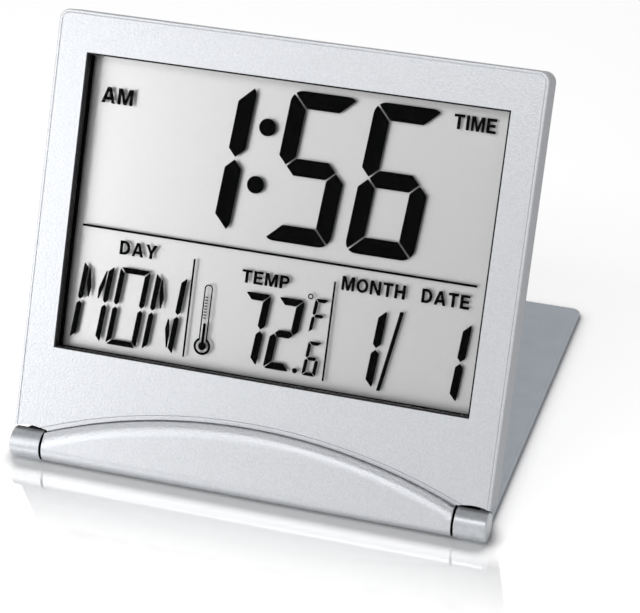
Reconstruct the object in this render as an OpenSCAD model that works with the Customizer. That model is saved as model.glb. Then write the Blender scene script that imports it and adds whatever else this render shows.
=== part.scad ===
// Folding travel alarm clock with a liquid-crystal display.
// The clock leans back on a flat stand plate and folds down onto it about a hinge in the two end caps.
// Clock pieces are drawn lying flat: x across the face, y up the face, z out of the face, with the
// origin on the centre line of the hinge caps. on_clock() then leans them back.

/* [Window] */
// Width of the display window
window_w = 94.8; // [80:0.1:110]
// Height of the display window
window_h = 65.2; // [55:0.1:80]
// Height of the window above the lower corners of the face
window_rise = 19.2; // [17:0.1:26]

/* [Case] */
// Thickness of the case walls
case_wall = 1.2; // [0.9:0.1:1.6]
// Thickness of the back of the rear cover
back_wall = 1.0; // [0.8:0.1:1.4]
// Radius of the upper corners of the case
corner_r = 2.4; // [1.6:0.1:6]
// Depth of the case rim, from the face to its joint with the rear cover
rim_depth = 4.2; // [3.4:0.1:4.6]
// Width of the ledge inside the rim that carries the bezel
ledge_w = 1.6; // [1.2:0.1:2.4]
// Thickness of that ledge
ledge_t = 1.0; // [0.7:0.1:1.2]
// Diameter of the screw posts in the corners of the case
post_d = 3.6; // [3.2:0.1:4.4]
// Depth by which a post runs into the case walls
post_bite = 0.3; // [0.2:0.05:0.5]
// Clearance between inner pieces that lie close to each other
slip_gap = 0.08; // [0.05:0.01:0.15]

/* [Bezel] */
// Thickness of the bezel
bezel_t = 1.2; // [1:0.1:1.6]
// Width of the case rim that shows around the bezel
rim_w = 0.6; // [0.5:0.05:1]
// Width of the groove between the rim and the bezel
rim_groove = 0.15; // [0.1:0.05:0.4]
// Distance of the face in front of the centre line of the hinge caps
face_proud = 1.2; // [0.6:0.1:2]
// Width of the lowered strip along the arched edge of the bezel
arch_strip = 0.95; // [0.5:0.05:1.5]
// Depth of that strip below the face
arch_drop = 0.25; // [0.1:0.05:0.5]

/* [Chin] */
// Height of the crown of the chin's arch above the centre line of the hinge caps
arch_crown = 12.1; // [9:0.1:14]
// Height of the arch at the ends of the chin
arch_end = 3.3; // [2.6:0.1:3.6]
// Radius of the chin's upper edge
chin_round = 2.3; // [1.2:0.1:2.6]
// Gap between the chin and the bezel
chin_gap = 0.15; // [0.1:0.05:0.3]
// Set-back of the chin's round from that of the hinge caps
chin_inset = 0.05; // [0.02:0.01:0.1]
// Wall of the chin around its hollow back
chin_wall = 1.6; // [1.2:0.1:2.2]
// Solid length left at each end of the chin
chin_end = 7; // [5:0.5:12]

/* [Stand] */
// Set-back of the stand plate's sides from the outer ends of the hinge caps
plate_inset = 1; // [0.6:0.1:2]
// Length of the stand plate behind the centre line of the hinge caps
stand_len = 98.7; // [85:0.1:115]
// Thickness of the stand plate
plate_t = 1.6; // [1.2:0.1:2]
// Radius of the far corners of the stand plate
plate_corner_r = 2; // [1:0.5:6]
// Gap between the chin and the front edge of the stand plate
plate_gap = 0.6; // [0.4:0.1:1]
// Reach of the plate's tabs forward of the centre line of the hinge caps
tab_reach = 0.4; // [0.2:0.1:1]
// Wall of a hinge cap beside the tab
tab_wall = 0.7; // [0.5:0.1:1]

/* [Hinge] */
// Lean of the clock face back from upright, in degrees
lean = 24.6; // [20:0.1:30]
// Radius of the hinge caps
nose_r = 3.4; // [3.2:0.1:3.8]
// Height of the round of the hinge caps above the table
nose_lift = 0.6; // [0.4:0.1:0.9]
// Length of a hinge cap
cap_len = 7.2; // [7:0.1:10]
// Length of the ear behind a hinge cap that holds its pin
ear_len = 4.6; // [4.2:0.1:6]
// Gap between a hinge cap and the end of the chin
side_gap = 0.5; // [0.3:0.05:0.7]
// Gap between a hinge cap and the corner of the case above it
cap_gap = 0.3; // [0.25:0.05:0.6]
// Radius of the rounded lower back edge of the case about the hinge axis
barrel_r = 1.3; // [1.2:0.05:1.6]
// Gap between the stand plate and the back of the folded clock
fold_gap = 0.4; // [0.3:0.05:0.8]
// Diameter of the hinge pins
pin_d = 1.2; // [1:0.1:1.4]
// Radial clearance of a hinge pin in its bores
pin_fit = 0.03; // [0.02:0.01:0.08]
// Length of a hinge pin inside the rear cover
pin_in = 4.5; // [3:0.1:6]
// Length of a hinge pin inside its cap
pin_out = 3.6; // [3:0.1:4]
// Wall of a hinge cap around its pin
ear_wall = 0.85; // [0.7:0.05:1]
// Length of the solid lug that holds a hinge pin in the rear cover
lug_len = 7; // [6.5:0.5:12]

/* [Display] */
// Thickness of each display glass
glass_t = 1.1; // [0.7:0.1:1.3]
// Thickness of the polariser and of the reflector film
film_t = 0.2; // [0.1:0.05:0.3]
// Overlap of the display glass behind the window's edges
glass_edge = 1.6; // [1.2:0.1:2.4]
// Reach of the front glass below the window, with its contact ledge
glass_ledge = 5.4; // [4.8:0.1:6.5]
// Clearance of the display glass in its holder
glass_fit = 0.2; // [0.1:0.05:0.3]
// Thickness of the holder in front of the display
holder_front = 0.8; // [0.6:0.1:1.2]
// Wall of the holder beside the display
holder_wall = 2.6; // [2.4:0.1:3.2]
// Gap between the holder and the ledge of the case
holder_gap = 0.4; // [0.2:0.05:0.6]
// Thickness of the holder's lip that lines the window
lip_t = 0.3; // [0.2:0.05:0.5]
// Clearance of that lip in the bezel
lip_fit = 0.05; // [0.02:0.01:0.1]
// Depth of the lip's edge below the face
lip_set = 0.15; // [0.1:0.05:0.3]
// Width of the rubber contact strip
strip_w = 1.6; // [1.2:0.1:2]
// Distance of the contact strip from the lower edge of the glass
strip_inset = 0.6; // [0.4:0.1:0.9]

/* [Board] */
// Thickness of the circuit board
board_t = 0.8; // [0.6:0.1:1]
// Gap between the reflector and the circuit board
board_gap = 0.4; // [0.3:0.05:0.6]
// Diameter of the resin dome over the chip
chip_d = 9; // [6:0.5:12]
// Height of the resin dome
chip_h = 0.9; // [0.6:0.1:1.2]
// Diameter of the quartz crystal's can
crystal_d = 1.4; // [1:0.1:1.5]
// Length of the quartz crystal's can
crystal_len = 5; // [4:0.5:6]
// Diameter of the temperature sensor
sensor_d = 1.3; // [1:0.1:1.5]
// Length of the temperature sensor
sensor_len = 3; // [2:0.5:4]
// Length of a chip capacitor or resistor
smd_len = 2; // [1.6:0.1:3.2]
// Width of a chip capacitor or resistor
smd_w = 1.25; // [0.8:0.05:1.6]
// Height of a chip capacitor
capacitor_h = 0.8; // [0.5:0.05:1.2]
// Height of a chip resistor
resistor_h = 0.5; // [0.4:0.05:0.8]
// Spacing of the chip capacitors and resistors
smd_pitch = 4; // [3:0.5:5]
// Number of chip capacitors
capacitor_count = 5; // [3:1:6]
// Number of chip resistors
resistor_count = 6; // [4:1:7]
// Height of the crystal and the sensor above the board's face
solder_gap = 0.03; // [0.02:0.01:0.1]
// Clearance of the tallest parts on the board to the rear cover
part_gap = 0.15; // [0.1:0.05:0.4]

/* [Battery] */
// Diameter of the coin cell
cell_d = 20; // [16:0.1:24.5]
// Thickness of the coin cell
cell_t = 2.5; // [2:0.1:3.2]
// Height of the raised face of the coin cell
cell_step = 0.4; // [0.2:0.05:0.6]
// Inset of that raised face from the cell's edge
cell_rim = 1.6; // [1:0.1:2.5]
// Side of the coin cell's centre from the middle of the clock, towards the left of the face
cell_side = 24; // [20:0.5:28]
// Distance of the coin cell's centre below the middle of the window
cell_drop = 5; // [3:0.5:8]
// Radial room between the coin cell and the ring inside the battery door
cell_room = 0.6; // [0.4:0.1:1]
// Radial room between the coin cell and the edge of the hole in the board
cell_board_room = 1; // [0.8:0.1:1.5]
// Thickness of the battery contacts
contact_t = 0.14; // [0.1:0.01:0.2]
// Width of the battery contacts
contact_w = 4; // [3:0.5:6]
// Reach of the battery contacts past the hole in the board
contact_reach = 3; // [2:0.5:5]

/* [Battery door] */
// Width of the ring inside the battery door
door_ring = 1.4; // [1:0.1:2]
// Height of that ring and of the door's lugs
door_lug_t = 0.5; // [0.4:0.05:0.7]
// Reach of the door's lugs past its edge
door_lug = 1.2; // [0.8:0.1:1.8]
// Width of the door's lugs
door_lug_w = 5; // [3:0.5:7]
// Number of lugs on the door
door_lugs = 3; // [2:1:4]
// Clearance of the door in the rear cover
door_fit = 0.15; // [0.1:0.05:0.3]
// Turn from locked to open, in degrees
door_turn = 40; // [30:1:45]
// Width of the coin slot in the door
slot_w = 1.6; // [1.2:0.1:2.2]
// Length of the coin slot
slot_len = 11; // [8:0.5:14]
// Depth of the coin slot
slot_depth = 0.5; // [0.3:0.05:0.6]

/* [Buttons] */
// Diameter of a push button
button_d = 5; // [4:0.1:6]
// Spacing of the push buttons
button_pitch = 17; // [12:0.5:19]
// Distance of the buttons below the top of the window
button_drop = 8; // [7:0.5:11]
// Travel of a push button
button_travel = 0.4; // [0.2:0.05:0.5]
// Thickness of a button's flange
flange_t = 0.3; // [0.25:0.05:0.4]
// Width of a button's flange around its cap
flange_w = 0.7; // [0.5:0.1:1]
// Diameter of the pad that presses the switch dome
pad_d = 2; // [1.5:0.1:3]
// Clearance of a button in the rear cover
button_fit = 0.12; // [0.08:0.02:0.25]
// Depth of a button's face below the back of the clock
button_set = 0.1; // [0.05:0.05:0.25]
// Depth of the recess around the buttons
recess_depth = 0.45; // [0.2:0.05:0.5]
// Width of the recess around the buttons
recess_w = 10; // [8:0.5:12]
// Diameter of a switch dome
dome_d = 5; // [4:0.5:6]
// Height of a switch dome
dome_h = 0.3; // [0.2:0.05:0.35]

/* [Buzzer] */
// Diameter of the buzzer's brass disc
buzzer_d = 20; // [15:1:24]
// Diameter of its ceramic layer
ceramic_d = 14; // [10:1:16]
// Thickness of the disc and of the ceramic layer
buzzer_t = 0.2; // [0.15:0.05:0.25]
// Side of the buzzer's centre from the middle of the clock, towards the right of the face
buzzer_side = 26; // [22:0.5:30]
// Height of the ring that carries the buzzer
buzzer_seat = 0.3; // [0.2:0.05:0.35]
// Diameter of the sound holes
sound_d = 1.6; // [1:0.1:2]
// Number of sound holes around the middle one
sound_holes = 6; // [4:1:8]
// Radius of the circle of sound holes
sound_r = 4.5; // [3:0.1:6]
// Width of the leaf contacts that touch the buzzer
leaf_w = 0.56; // [0.4:0.02:1]

/* [Fasteners] */
// Diameter of the screws in the case and in the hinge caps
screw_d = 1.6; // [1.4:0.1:1.8]
// Diameter of their heads
screw_head_d = 2.8; // [2.4:0.1:3]
// Height of their heads
screw_head_h = 0.8; // [0.6:0.05:0.9]
// Diameter of the board screws
board_screw_d = 1.2; // [1:0.1:1.4]
// Diameter of the board screws' heads
board_head_d = 2.2; // [1.8:0.1:2.6]
// Height of the board screws' heads
board_head_h = 0.6; // [0.4:0.05:0.8]
// Distance of the board screws from the upper and lower edges of the display holder
board_screw_inset = 6; // [4:0.5:9]
// Radial clearance of the screws in their holes
screw_fit = 0.03; // [0.02:0.01:0.06]
// Depth of a screw head below the face it is sunk in
head_set = 0.1; // [0.05:0.05:0.2]
// Width of the cross in the screw heads
cross_w = 0.4; // [0.3:0.05:0.5]
// Depth of the cross in the screw heads
cross_depth = 0.35; // [0.2:0.05:0.45]

/* [Hidden] */
$fn = 96;
// Small overlap that keeps cuts and joins clean
eps = 0.01;
// Amount by which a cut runs past the solid
past = 5;
// Share of a circle's radius at which a straight side meets it
inside = 0.97;
// Least radius of the corners of an inner outline
least_r = 0.3;

// Layers of the clock, from the face back, on the z axis of the flat drawing
face_z = face_proud;
bezel_back_z = face_z - bezel_t;
lip_z = face_z - lip_set;
film_z = bezel_back_z - holder_front;
front_glass_z = film_z - film_t;
rear_glass_z = front_glass_z - glass_t;
reflector_z = rear_glass_z - glass_t;
reflector_back_z = reflector_z - film_t;
board_z = reflector_back_z - board_gap;
board_back_z = board_z - board_t;
tallest_part = max(crystal_d, sensor_d, chip_h, capacitor_h) + part_gap;
cell_layer = cell_t + contact_t + 3 * slip_gap;
cover_in_z = min(board_back_z - tallest_part, reflector_back_z - cell_layer);
back_z = cover_in_z - back_wall;
rim_joint_z = face_z - rim_depth;

// Outline of the case
bezel_side = glass_edge + glass_fit + holder_wall + holder_gap + ledge_w + case_wall;
bezel_top = glass_edge + glass_fit + holder_wall + holder_gap + post_d - post_bite + case_wall;
body_w = window_w + 2 * bezel_side;
cap_in_x = body_w / 2 - cap_len;
chin_half = cap_in_x - side_gap;

// Hinge axis, on the flat drawing and on the table
axis_z = back_z + barrel_r;
hinge_height = plate_t + fold_gap + barrel_r;
nose_rise = nose_r + nose_lift;
axis_y = (hinge_height - nose_rise - axis_z * sin(lean)) / cos(lean);
hinge_back = axis_y * sin(lean) - axis_z * cos(lean);
ear_r = pin_d / 2 + ear_wall;
floor_y = axis_y - barrel_r;
corner_y = max(nose_r, axis_y + ear_r) + cap_gap;
window_low = corner_y + window_rise;
window_top = window_low + window_h;
body_top = window_top + bezel_top;

// The clock stands with the middle of its footprint on the origin
nose_y = (nose_r - stand_len) / 2;

// Chin and arch
chin_r = nose_r - chin_inset;
arch_sag = arch_crown - arch_end;
arch_r = (chin_half * chin_half + arch_sag * arch_sag) / (2 * arch_sag);
arch_centre_y = arch_crown - arch_r;

// Stand plate and hinge caps
stand_w = body_w - 2 * plate_inset;
plate_below = nose_rise - plate_t;
plate_front = sqrt(max(0, chin_r * chin_r - plate_below * plate_below)) + plate_gap;
tab_in_x = cap_in_x + tab_wall;
cap_screw_x = (tab_in_x + stand_w / 2) / 2;
cap_screw_y = plate_front - screw_head_d / 2;
cap_screw_len = nose_rise;
cap_line = atan2(hinge_height - nose_rise, hinge_back);
cap_span = norm([hinge_back, hinge_height - nose_rise]);
cap_tangent = cap_line + acos((nose_r - ear_r) / cap_span);

// Display and its holder
glass_w = window_w + 2 * glass_edge;
glass_low = window_low - glass_ledge;
glass_top = window_top + glass_edge;
holder_w = glass_w + 2 * (glass_fit + holder_wall);
holder_low = glass_low - glass_fit - holder_wall;
holder_top = glass_top + glass_fit + holder_wall;
strip_y = glass_low + strip_inset;

// Places of the screws and posts
post_x = body_w / 2 - case_wall - post_d / 2 + post_bite;
post_low_y = corner_y + case_wall + post_d / 2 - post_bite;
post_top_y = body_top - case_wall - post_d / 2 + post_bite;
post_points = [for (x = [-post_x, post_x], y = [post_low_y, post_top_y]) [x, y]];
case_screw_tip_z = (rim_joint_z + bezel_back_z) / 2;
board_screw_x = glass_w / 2 + glass_fit + holder_wall / 2;
board_points = [for (x = [-board_screw_x, board_screw_x],
                     y = [holder_low + board_screw_inset, holder_top - board_screw_inset]) [x, y]];
board_screw_tip_z = rear_glass_z;

// Coin cell and battery door
cell_x = -cell_side;
cell_y = (window_low + window_top) / 2 - cell_drop;
cell_front_z = reflector_back_z - contact_t - 2 * slip_gap;
board_hole_r = cell_d / 2 + cell_board_room;
door_ring_r = cell_d / 2 + cell_room;
door_r = door_ring_r + door_ring;
lug_r = door_r + door_lug;
lug_top_z = cover_in_z + slip_gap + door_lug_t;
lug_step = 360 / door_lugs;

// Buttons and buzzer
button_y = window_top - button_drop;
button_xs = [for (i = [0:3]) (i - 1.5) * button_pitch];
pad_top_z = board_back_z - dome_h - button_travel - slip_gap;
buzzer_y = cell_y;
buzzer_disc_z = cover_in_z + buzzer_seat;
buzzer_ceramic_z = buzzer_disc_z + buzzer_t;

// Colours
silver = [0.80, 0.81, 0.83];
silver_dark = [0.62, 0.65, 0.68];
steel = [0.72, 0.73, 0.74];
brass = [0.78, 0.63, 0.30];
black = [0.06, 0.06, 0.07];
glass_tint = [0.80, 0.84, 0.82];
board_green = [0.10, 0.36, 0.20];
reflector_grey = [0.80, 0.81, 0.80];
rubber_pink = [0.85, 0.55, 0.60];
ceramic_tan = [0.72, 0.55, 0.36];

// Frames

// Leans the flat drawing back and sets it on the hinge caps' centre line
module on_clock() {
    translate([0, nose_y, nose_rise]) rotate([90 - lean, 0, 0]) children();
}

// Places a piece that is drawn with y = 0 on the centre line of the hinge caps and z = 0 on the table
module on_table() {
    translate([0, nose_y, 0]) children();
}

// Sheet of the given outline between two heights
module layer(from_z, to_z) {
    translate([0, 0, from_z]) linear_extrude(to_z - from_z) children();
}

// Round bar along x between two places
module bar_x(from_x, to_x, r, y, z) {
    translate([from_x, y, z]) rotate([0, 90, 0]) cylinder(r = r, h = to_x - from_x);
}

// Round post between two heights
module post(x, y, from_z, to_z, d) {
    translate([x, y, from_z]) cylinder(d = d, h = to_z - from_z);
}

// Rectangle that is centred on x
module panel(w, low, top) {
    translate([-w / 2, low]) square([w, top - low]);
}

// Outlines

// Face of the case, drawn in by a wall: notched at the lower corners for the hinge caps
module case_outline(inset) {
    half = body_w / 2 - inset;
    low = corner_y + inset;
    top = body_top - inset;
    r = max(corner_r - inset, least_r);
    panel(2 * half, low, top - r);
    panel(2 * (half - r), low, top);
    for (side = [-1, 1]) translate([side * (half - r), top - r]) circle(r);
    panel(2 * (chin_half - inset), floor_y + inset, low + eps);
}

// Opening in the rim that takes the bezel and, below the arch, the chin
module bezel_pocket() {
    case_outline(rim_w);
    panel(body_w - 2 * rim_w, floor_y - past, corner_y + rim_w + eps);
}

// Bezel before its window and arch are cut
module bezel_outline() {
    edge = rim_w + rim_groove;
    case_outline(edge);
    panel(body_w - 2 * edge, corner_y, corner_y + edge + eps);
    panel(2 * chin_half, floor_y, corner_y + eps);
}

// Disc under the arch, widened by a margin
module arch_disc(margin, from_z, to_z) {
    translate([0, arch_centre_y, from_z]) cylinder(r = arch_r + margin, h = to_z - from_z, $fn = 360);
}

// Side view of the web between the two round ends of a hinge cap: y along the table, height up
module cap_web() {
    nose = [0, nose_rise];
    ear = [hinge_back, hinge_height];
    reach = inside * [cos(cap_tangent), sin(cap_tangent)];
    polygon([
        nose,
        nose + nose_r * reach,
        ear + ear_r * reach,
        ear + [inside * ear_r, 0],
        [hinge_back + inside * ear_r, 0],
        [nose_r - inside * nose_r, 0]
    ]);
}

// Fasteners

// Screw with a flat cross head at z = 0 and its tip at the given depth above it
module screw(d, head_d, head_h, tip) {
    difference() {
        union() {
            cylinder(d = head_d, h = head_h);
            cylinder(d = d, h = tip);
        }
        for (turn = [0, 90]) rotate([0, 0, turn])
            translate([-head_d / 4, -cross_w / 2, -past]) cube([head_d / 2, cross_w, past + cross_depth]);
    }
}

// Hole for a screw, with a sunk seat for its head
module screw_hole(d, head_d, head_h, tip) {
    translate([0, 0, -past]) cylinder(d = head_d + 2 * screw_fit, h = past + head_h);
    cylinder(d = d + 2 * screw_fit, h = tip);
}

// Stand

module stand_plate() {
    half = stand_w / 2;
    color(silver_dark) on_table() difference() {
        union() {
            layer(0, plate_t) {
                panel(stand_w, plate_front, stand_len - plate_corner_r);
                panel(stand_w - 2 * plate_corner_r, plate_front, stand_len);
                for (side = [-1, 1])
                    translate([side * (half - plate_corner_r), stand_len - plate_corner_r])
                        circle(plate_corner_r);
            }
            for (side = [-1, 1]) translate([side > 0 ? tab_in_x : -half, -tab_reach, 0])
                cube([half - tab_in_x, plate_front + tab_reach + eps, plate_t]);
        }
        for (side = [-1, 1]) translate([side * cap_screw_x, cap_screw_y, head_set])
            screw_hole(screw_d, screw_head_d, screw_head_h, plate_t);
    }
}

// Right-hand cap; the left one is its mirror image
module hinge_cap() {
    half = stand_w / 2;
    on_table() difference() {
        union() {
            bar_x(cap_in_x, body_w / 2, nose_r, 0, nose_rise);
            bar_x(cap_in_x, cap_in_x + ear_len, ear_r, hinge_back, hinge_height);
            translate([cap_in_x, 0, 0]) rotate([90, 0, 90]) linear_extrude(ear_len) cap_web();
        }
        translate([tab_in_x, -tab_reach, -past])
            cube([half - tab_in_x, plate_front + past, past + plate_t]);
        translate([cap_in_x - past, plate_front, -past])
            cube([half - cap_in_x + past, stand_len, past + plate_t]);
        bar_x(cap_in_x - eps, cap_in_x + pin_out, pin_d / 2 + pin_fit, hinge_back, hinge_height);
        translate([cap_screw_x, cap_screw_y, head_set])
            cylinder(d = screw_d + 2 * screw_fit, h = cap_screw_len + screw_fit);
    }
}

module left_hinge_cap() { color(silver) mirror([1, 0, 0]) hinge_cap(); }

module right_hinge_cap() { color(silver) hinge_cap(); }

module hinge_pins() {
    color(steel) on_table() for (side = [0, 1]) mirror([side, 0, 0])
        bar_x(chin_half - pin_in + pin_fit, cap_in_x + pin_out - pin_fit, pin_d / 2,
              hinge_back, hinge_height);
}

module stand_screws() {
    color(steel) on_table() for (side = [-1, 1])
        translate([side * cap_screw_x, cap_screw_y, head_set])
            screw(screw_d, screw_head_d, screw_head_h, cap_screw_len);
}

// Case

module case_rim() {
    color(silver) on_clock() difference() {
        union() {
            difference() {
                layer(rim_joint_z, face_z) case_outline(0);
                layer(rim_joint_z - past, bezel_back_z - ledge_t) case_outline(case_wall);
                layer(rim_joint_z - past, bezel_back_z + eps) case_outline(case_wall + ledge_w);
                layer(bezel_back_z, face_z + past) bezel_pocket();
            }
            for (p = post_points) post(p[0], p[1], rim_joint_z, bezel_back_z - ledge_t / 2, post_d);
        }
        for (p = post_points)
            post(p[0], p[1], rim_joint_z - past, case_screw_tip_z + screw_fit, screw_d + 2 * screw_fit);
    }
}

module front_bezel() {
    color(silver) on_clock() difference() {
        layer(bezel_back_z, face_z) bezel_outline();
        layer(bezel_back_z - past, face_z + past)
            panel(window_w + 2 * (lip_t + lip_fit), window_low - lip_t - lip_fit,
                  window_top + lip_t + lip_fit);
        arch_disc(chin_gap, bezel_back_z - past, face_z + past);
        arch_disc(chin_gap + arch_strip, face_z - arch_drop, face_z + past);
        bar_x(-chin_half - past, chin_half + past, chin_r + chin_gap, 0, 0);
    }
}

// Section of the chin's face: a plate with a rounded outer edge
module chin_section() {
    depth = chin_r - bezel_back_z;
    square([arch_r - chin_round, depth]);
    square([arch_r, depth - chin_round]);
    translate([arch_r - chin_round, depth - chin_round]) circle(chin_round);
}

module chin_bar() {
    color(silver) on_clock() difference() {
        union() {
            bar_x(-chin_half, chin_half, chin_r, 0, 0);
            intersection() {
                translate([0, arch_centre_y, bezel_back_z]) rotate_extrude($fn = 360) chin_section();
                translate([-chin_half, 0, bezel_back_z])
                    cube([2 * chin_half, arch_crown + past, nose_r * 2]);
            }
        }
        translate([-chin_half - past, floor_y, bezel_back_z - nose_r * 2])
            cube([2 * (chin_half + past), arch_crown + past, nose_r * 2]);
        intersection() {
            arch_disc(-chin_wall, bezel_back_z - eps, chin_r - chin_wall);
            translate([-chin_half + chin_end, floor_y + case_wall, bezel_back_z - past])
                cube([2 * (chin_half - chin_end), arch_crown, past + nose_r * 2]);
        }
    }
}

module battery_hole() {
    translate([cell_x, cell_y, back_z - past]) cylinder(r = door_r + door_fit, h = past + 2 * back_wall);
    for (i = [0 : door_lugs - 1]) translate([cell_x, cell_y, back_z - past]) intersection() {
        cylinder(r = lug_r + door_fit, h = past + 2 * back_wall);
        rotate([0, 0, i * lug_step + door_turn])
            translate([0, -door_lug_w / 2 - door_fit, 0])
                cube([2 * lug_r, door_lug_w + 2 * door_fit, past + 2 * back_wall]);
    }
}

module button_recess() {
    reach = button_xs[3];
    layer(back_z - past, back_z + recess_depth) {
        translate([-reach, button_y - recess_w / 2]) square([2 * reach, recess_w]);
        for (x = [-reach, reach]) translate([x, button_y]) circle(d = recess_w);
    }
    for (x = button_xs)
        post(x, button_y, back_z - past, cover_in_z + past, button_d + 2 * button_fit);
}

module sound_grille() {
    post(buzzer_side, buzzer_y, back_z - past, cover_in_z + eps, sound_d);
    for (i = [1 : sound_holes]) {
        turn = i * 360 / sound_holes;
        post(buzzer_side + sound_r * cos(turn), buzzer_y + sound_r * sin(turn),
             back_z - past, cover_in_z + eps, sound_d);
    }
}

// Waste outside the rounded lower back edge of the case
module back_edge_waste() {
    difference() {
        translate([-chin_half - past, floor_y - past, back_z - past])
            cube([2 * (chin_half + past), past + barrel_r, past + barrel_r]);
        bar_x(-chin_half - 2 * past, chin_half + 2 * past, barrel_r, axis_y, axis_z);
    }
}

module rear_cover() {
    color(silver) on_clock() difference() {
        union() {
            difference() {
                layer(back_z, rim_joint_z) case_outline(0);
                layer(cover_in_z, rim_joint_z + past) case_outline(case_wall);
            }
            for (side = [-1, 1]) translate([side > 0 ? chin_half - lug_len : -chin_half, floor_y, back_z])
                cube([lug_len, 2 * barrel_r, 2 * barrel_r]);
            for (p = post_points) post(p[0], p[1], cover_in_z - eps, rim_joint_z, post_d);
            difference() {
                post(buzzer_side, buzzer_y, cover_in_z - eps, buzzer_disc_z, buzzer_d);
                post(buzzer_side, buzzer_y, cover_in_z - past, buzzer_disc_z + past, ceramic_d);
            }
        }
        back_edge_waste();
        for (side = [0, 1]) mirror([side, 0, 0])
            bar_x(chin_half - pin_in, chin_half + past, pin_d / 2 + pin_fit, axis_y, axis_z);
        for (p = post_points) translate([p[0], p[1], back_z + head_set])
            screw_hole(screw_d, screw_head_d, screw_head_h, rim_joint_z - back_z);
        battery_hole();
        button_recess();
        sound_grille();
    }
}

module case_screws() {
    color(steel) on_clock() for (p = post_points) translate([p[0], p[1], back_z + head_set])
        screw(screw_d, screw_head_d, screw_head_h, case_screw_tip_z - back_z - head_set);
}

// Display

module display_holder() {
    color(black) on_clock() difference() {
        union() {
            layer(board_z, bezel_back_z) panel(holder_w, holder_low, holder_top);
            layer(bezel_back_z - eps, lip_z)
                panel(window_w + 2 * lip_t, window_low - lip_t, window_top + lip_t);
        }
        layer(board_z - past, face_z + past) panel(window_w, window_low, window_top);
        layer(board_z - past, film_z)
            panel(glass_w + 2 * glass_fit, glass_low - glass_fit, glass_top + glass_fit);
        for (p = board_points)
            post(p[0], p[1], board_z - past, board_screw_tip_z + screw_fit, board_screw_d + 2 * screw_fit);
    }
}

module front_polariser() {
    color(glass_tint) on_clock() layer(front_glass_z, film_z)
        panel(glass_w, window_low - glass_edge, glass_top);
}

module front_glass() {
    color(glass_tint) on_clock() layer(rear_glass_z, front_glass_z) panel(glass_w, glass_low, glass_top);
}

module rear_glass() {
    color(glass_tint) on_clock() layer(reflector_z, rear_glass_z)
        panel(glass_w, window_low - glass_edge, glass_top);
}

module reflector_film() {
    color(reflector_grey) on_clock() layer(reflector_back_z, reflector_z)
        panel(glass_w, window_low - glass_edge, glass_top);
}

module contact_strip() {
    color(rubber_pink) on_clock() layer(board_z, rear_glass_z)
        panel(window_w, strip_y, strip_y + strip_w);
}

// Circuit board and what is on it

module circuit_board() {
    color(board_green) on_clock() difference() {
        layer(board_back_z, board_z) panel(holder_w, holder_low, holder_top);
        post(cell_x, cell_y, board_back_z - past, board_z + past, 2 * board_hole_r);
        for (p = board_points)
            post(p[0], p[1], board_back_z - past, board_z + past, board_screw_d + 2 * screw_fit);
    }
}

module board_screws() {
    color(steel) on_clock() for (p = board_points) translate([p[0], p[1], board_back_z - board_head_h])
        screw(board_screw_d, board_head_d, board_head_h, board_screw_tip_z - board_back_z + board_head_h);
}

// Shallow dome of the given diameter and height on the back of the board
module dome(x, y, d, h) {
    translate([x, y, board_back_z - h]) cylinder(d1 = d / 2, d2 = d, h = h);
}

// Row of chip parts on the back of the board
module chip_row(count, y, h) {
    for (i = [0 : count - 1])
        translate([i * smd_pitch - smd_len / 2, y, board_back_z - h]) cube([smd_len, smd_w, h]);
}

module chip_dome() {
    color(black) on_clock() dome(0, cell_y - board_hole_r, chip_d, chip_h);
}

module quartz_crystal() {
    color(steel) on_clock()
        bar_x(chip_d, chip_d + crystal_len, crystal_d / 2, cell_y - board_hole_r,
              board_back_z - crystal_d / 2 - solder_gap);
}

module capacitors() {
    color(ceramic_tan) on_clock() chip_row(capacitor_count, window_low, capacitor_h);
}

module resistors() {
    color(black) on_clock() chip_row(resistor_count, window_low - smd_pitch, resistor_h);
}

module temperature_sensor() {
    color(black) on_clock()
        bar_x(cell_x, cell_x + sensor_len, sensor_d / 2, window_low - smd_pitch,
              board_back_z - sensor_d / 2 - solder_gap);
}

module switch_domes() {
    color(steel) on_clock() for (x = button_xs) dome(x, button_y, dome_d, dome_h);
}

module buzzer_disc() {
    color(brass) on_clock() post(buzzer_side, buzzer_y, buzzer_disc_z, buzzer_ceramic_z, buzzer_d);
}

module buzzer_ceramic() {
    color("white") on_clock()
        post(buzzer_side, buzzer_y, buzzer_ceramic_z, buzzer_ceramic_z + buzzer_t, ceramic_d);
}

// Leaf contact from the board down to the buzzer at the given height
module buzzer_leaf(x, tip_z) {
    translate([x, buzzer_y - contact_w / 2, 0]) rotate([90, 0, 90]) linear_extrude(leaf_w) polygon([
        [0, board_back_z], [contact_w, board_back_z], [contact_w, board_back_z - contact_t],
        [contact_t, tip_z], [0, tip_z]
    ]);
}

module buzzer_contacts() {
    color(brass) on_clock() {
        buzzer_leaf(buzzer_side, buzzer_ceramic_z + buzzer_t + slip_gap);
        buzzer_leaf(buzzer_side - (buzzer_d + ceramic_d) / 4, buzzer_ceramic_z + slip_gap);
    }
}

// Battery

module coin_cell() {
    color(steel) on_clock() {
        post(cell_x, cell_y, cell_front_z - cell_t, cell_front_z - cell_step, cell_d);
        post(cell_x, cell_y, cell_front_z - cell_step - eps, cell_front_z, cell_d - 2 * cell_rim);
    }
}

module positive_contact() {
    outer = board_hole_r - slip_gap;
    inner = cell_d / 2 + slip_gap;
    color(brass) on_clock() intersection() {
        difference() {
            post(cell_x, cell_y, board_back_z, board_z, 2 * outer);
            post(cell_x, cell_y, board_back_z - past, board_z + past, 2 * inner);
        }
        translate([cell_x, cell_y - contact_w / 2, board_back_z - past])
            cube([cell_d, contact_w, 2 * past]);
    }
}

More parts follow.
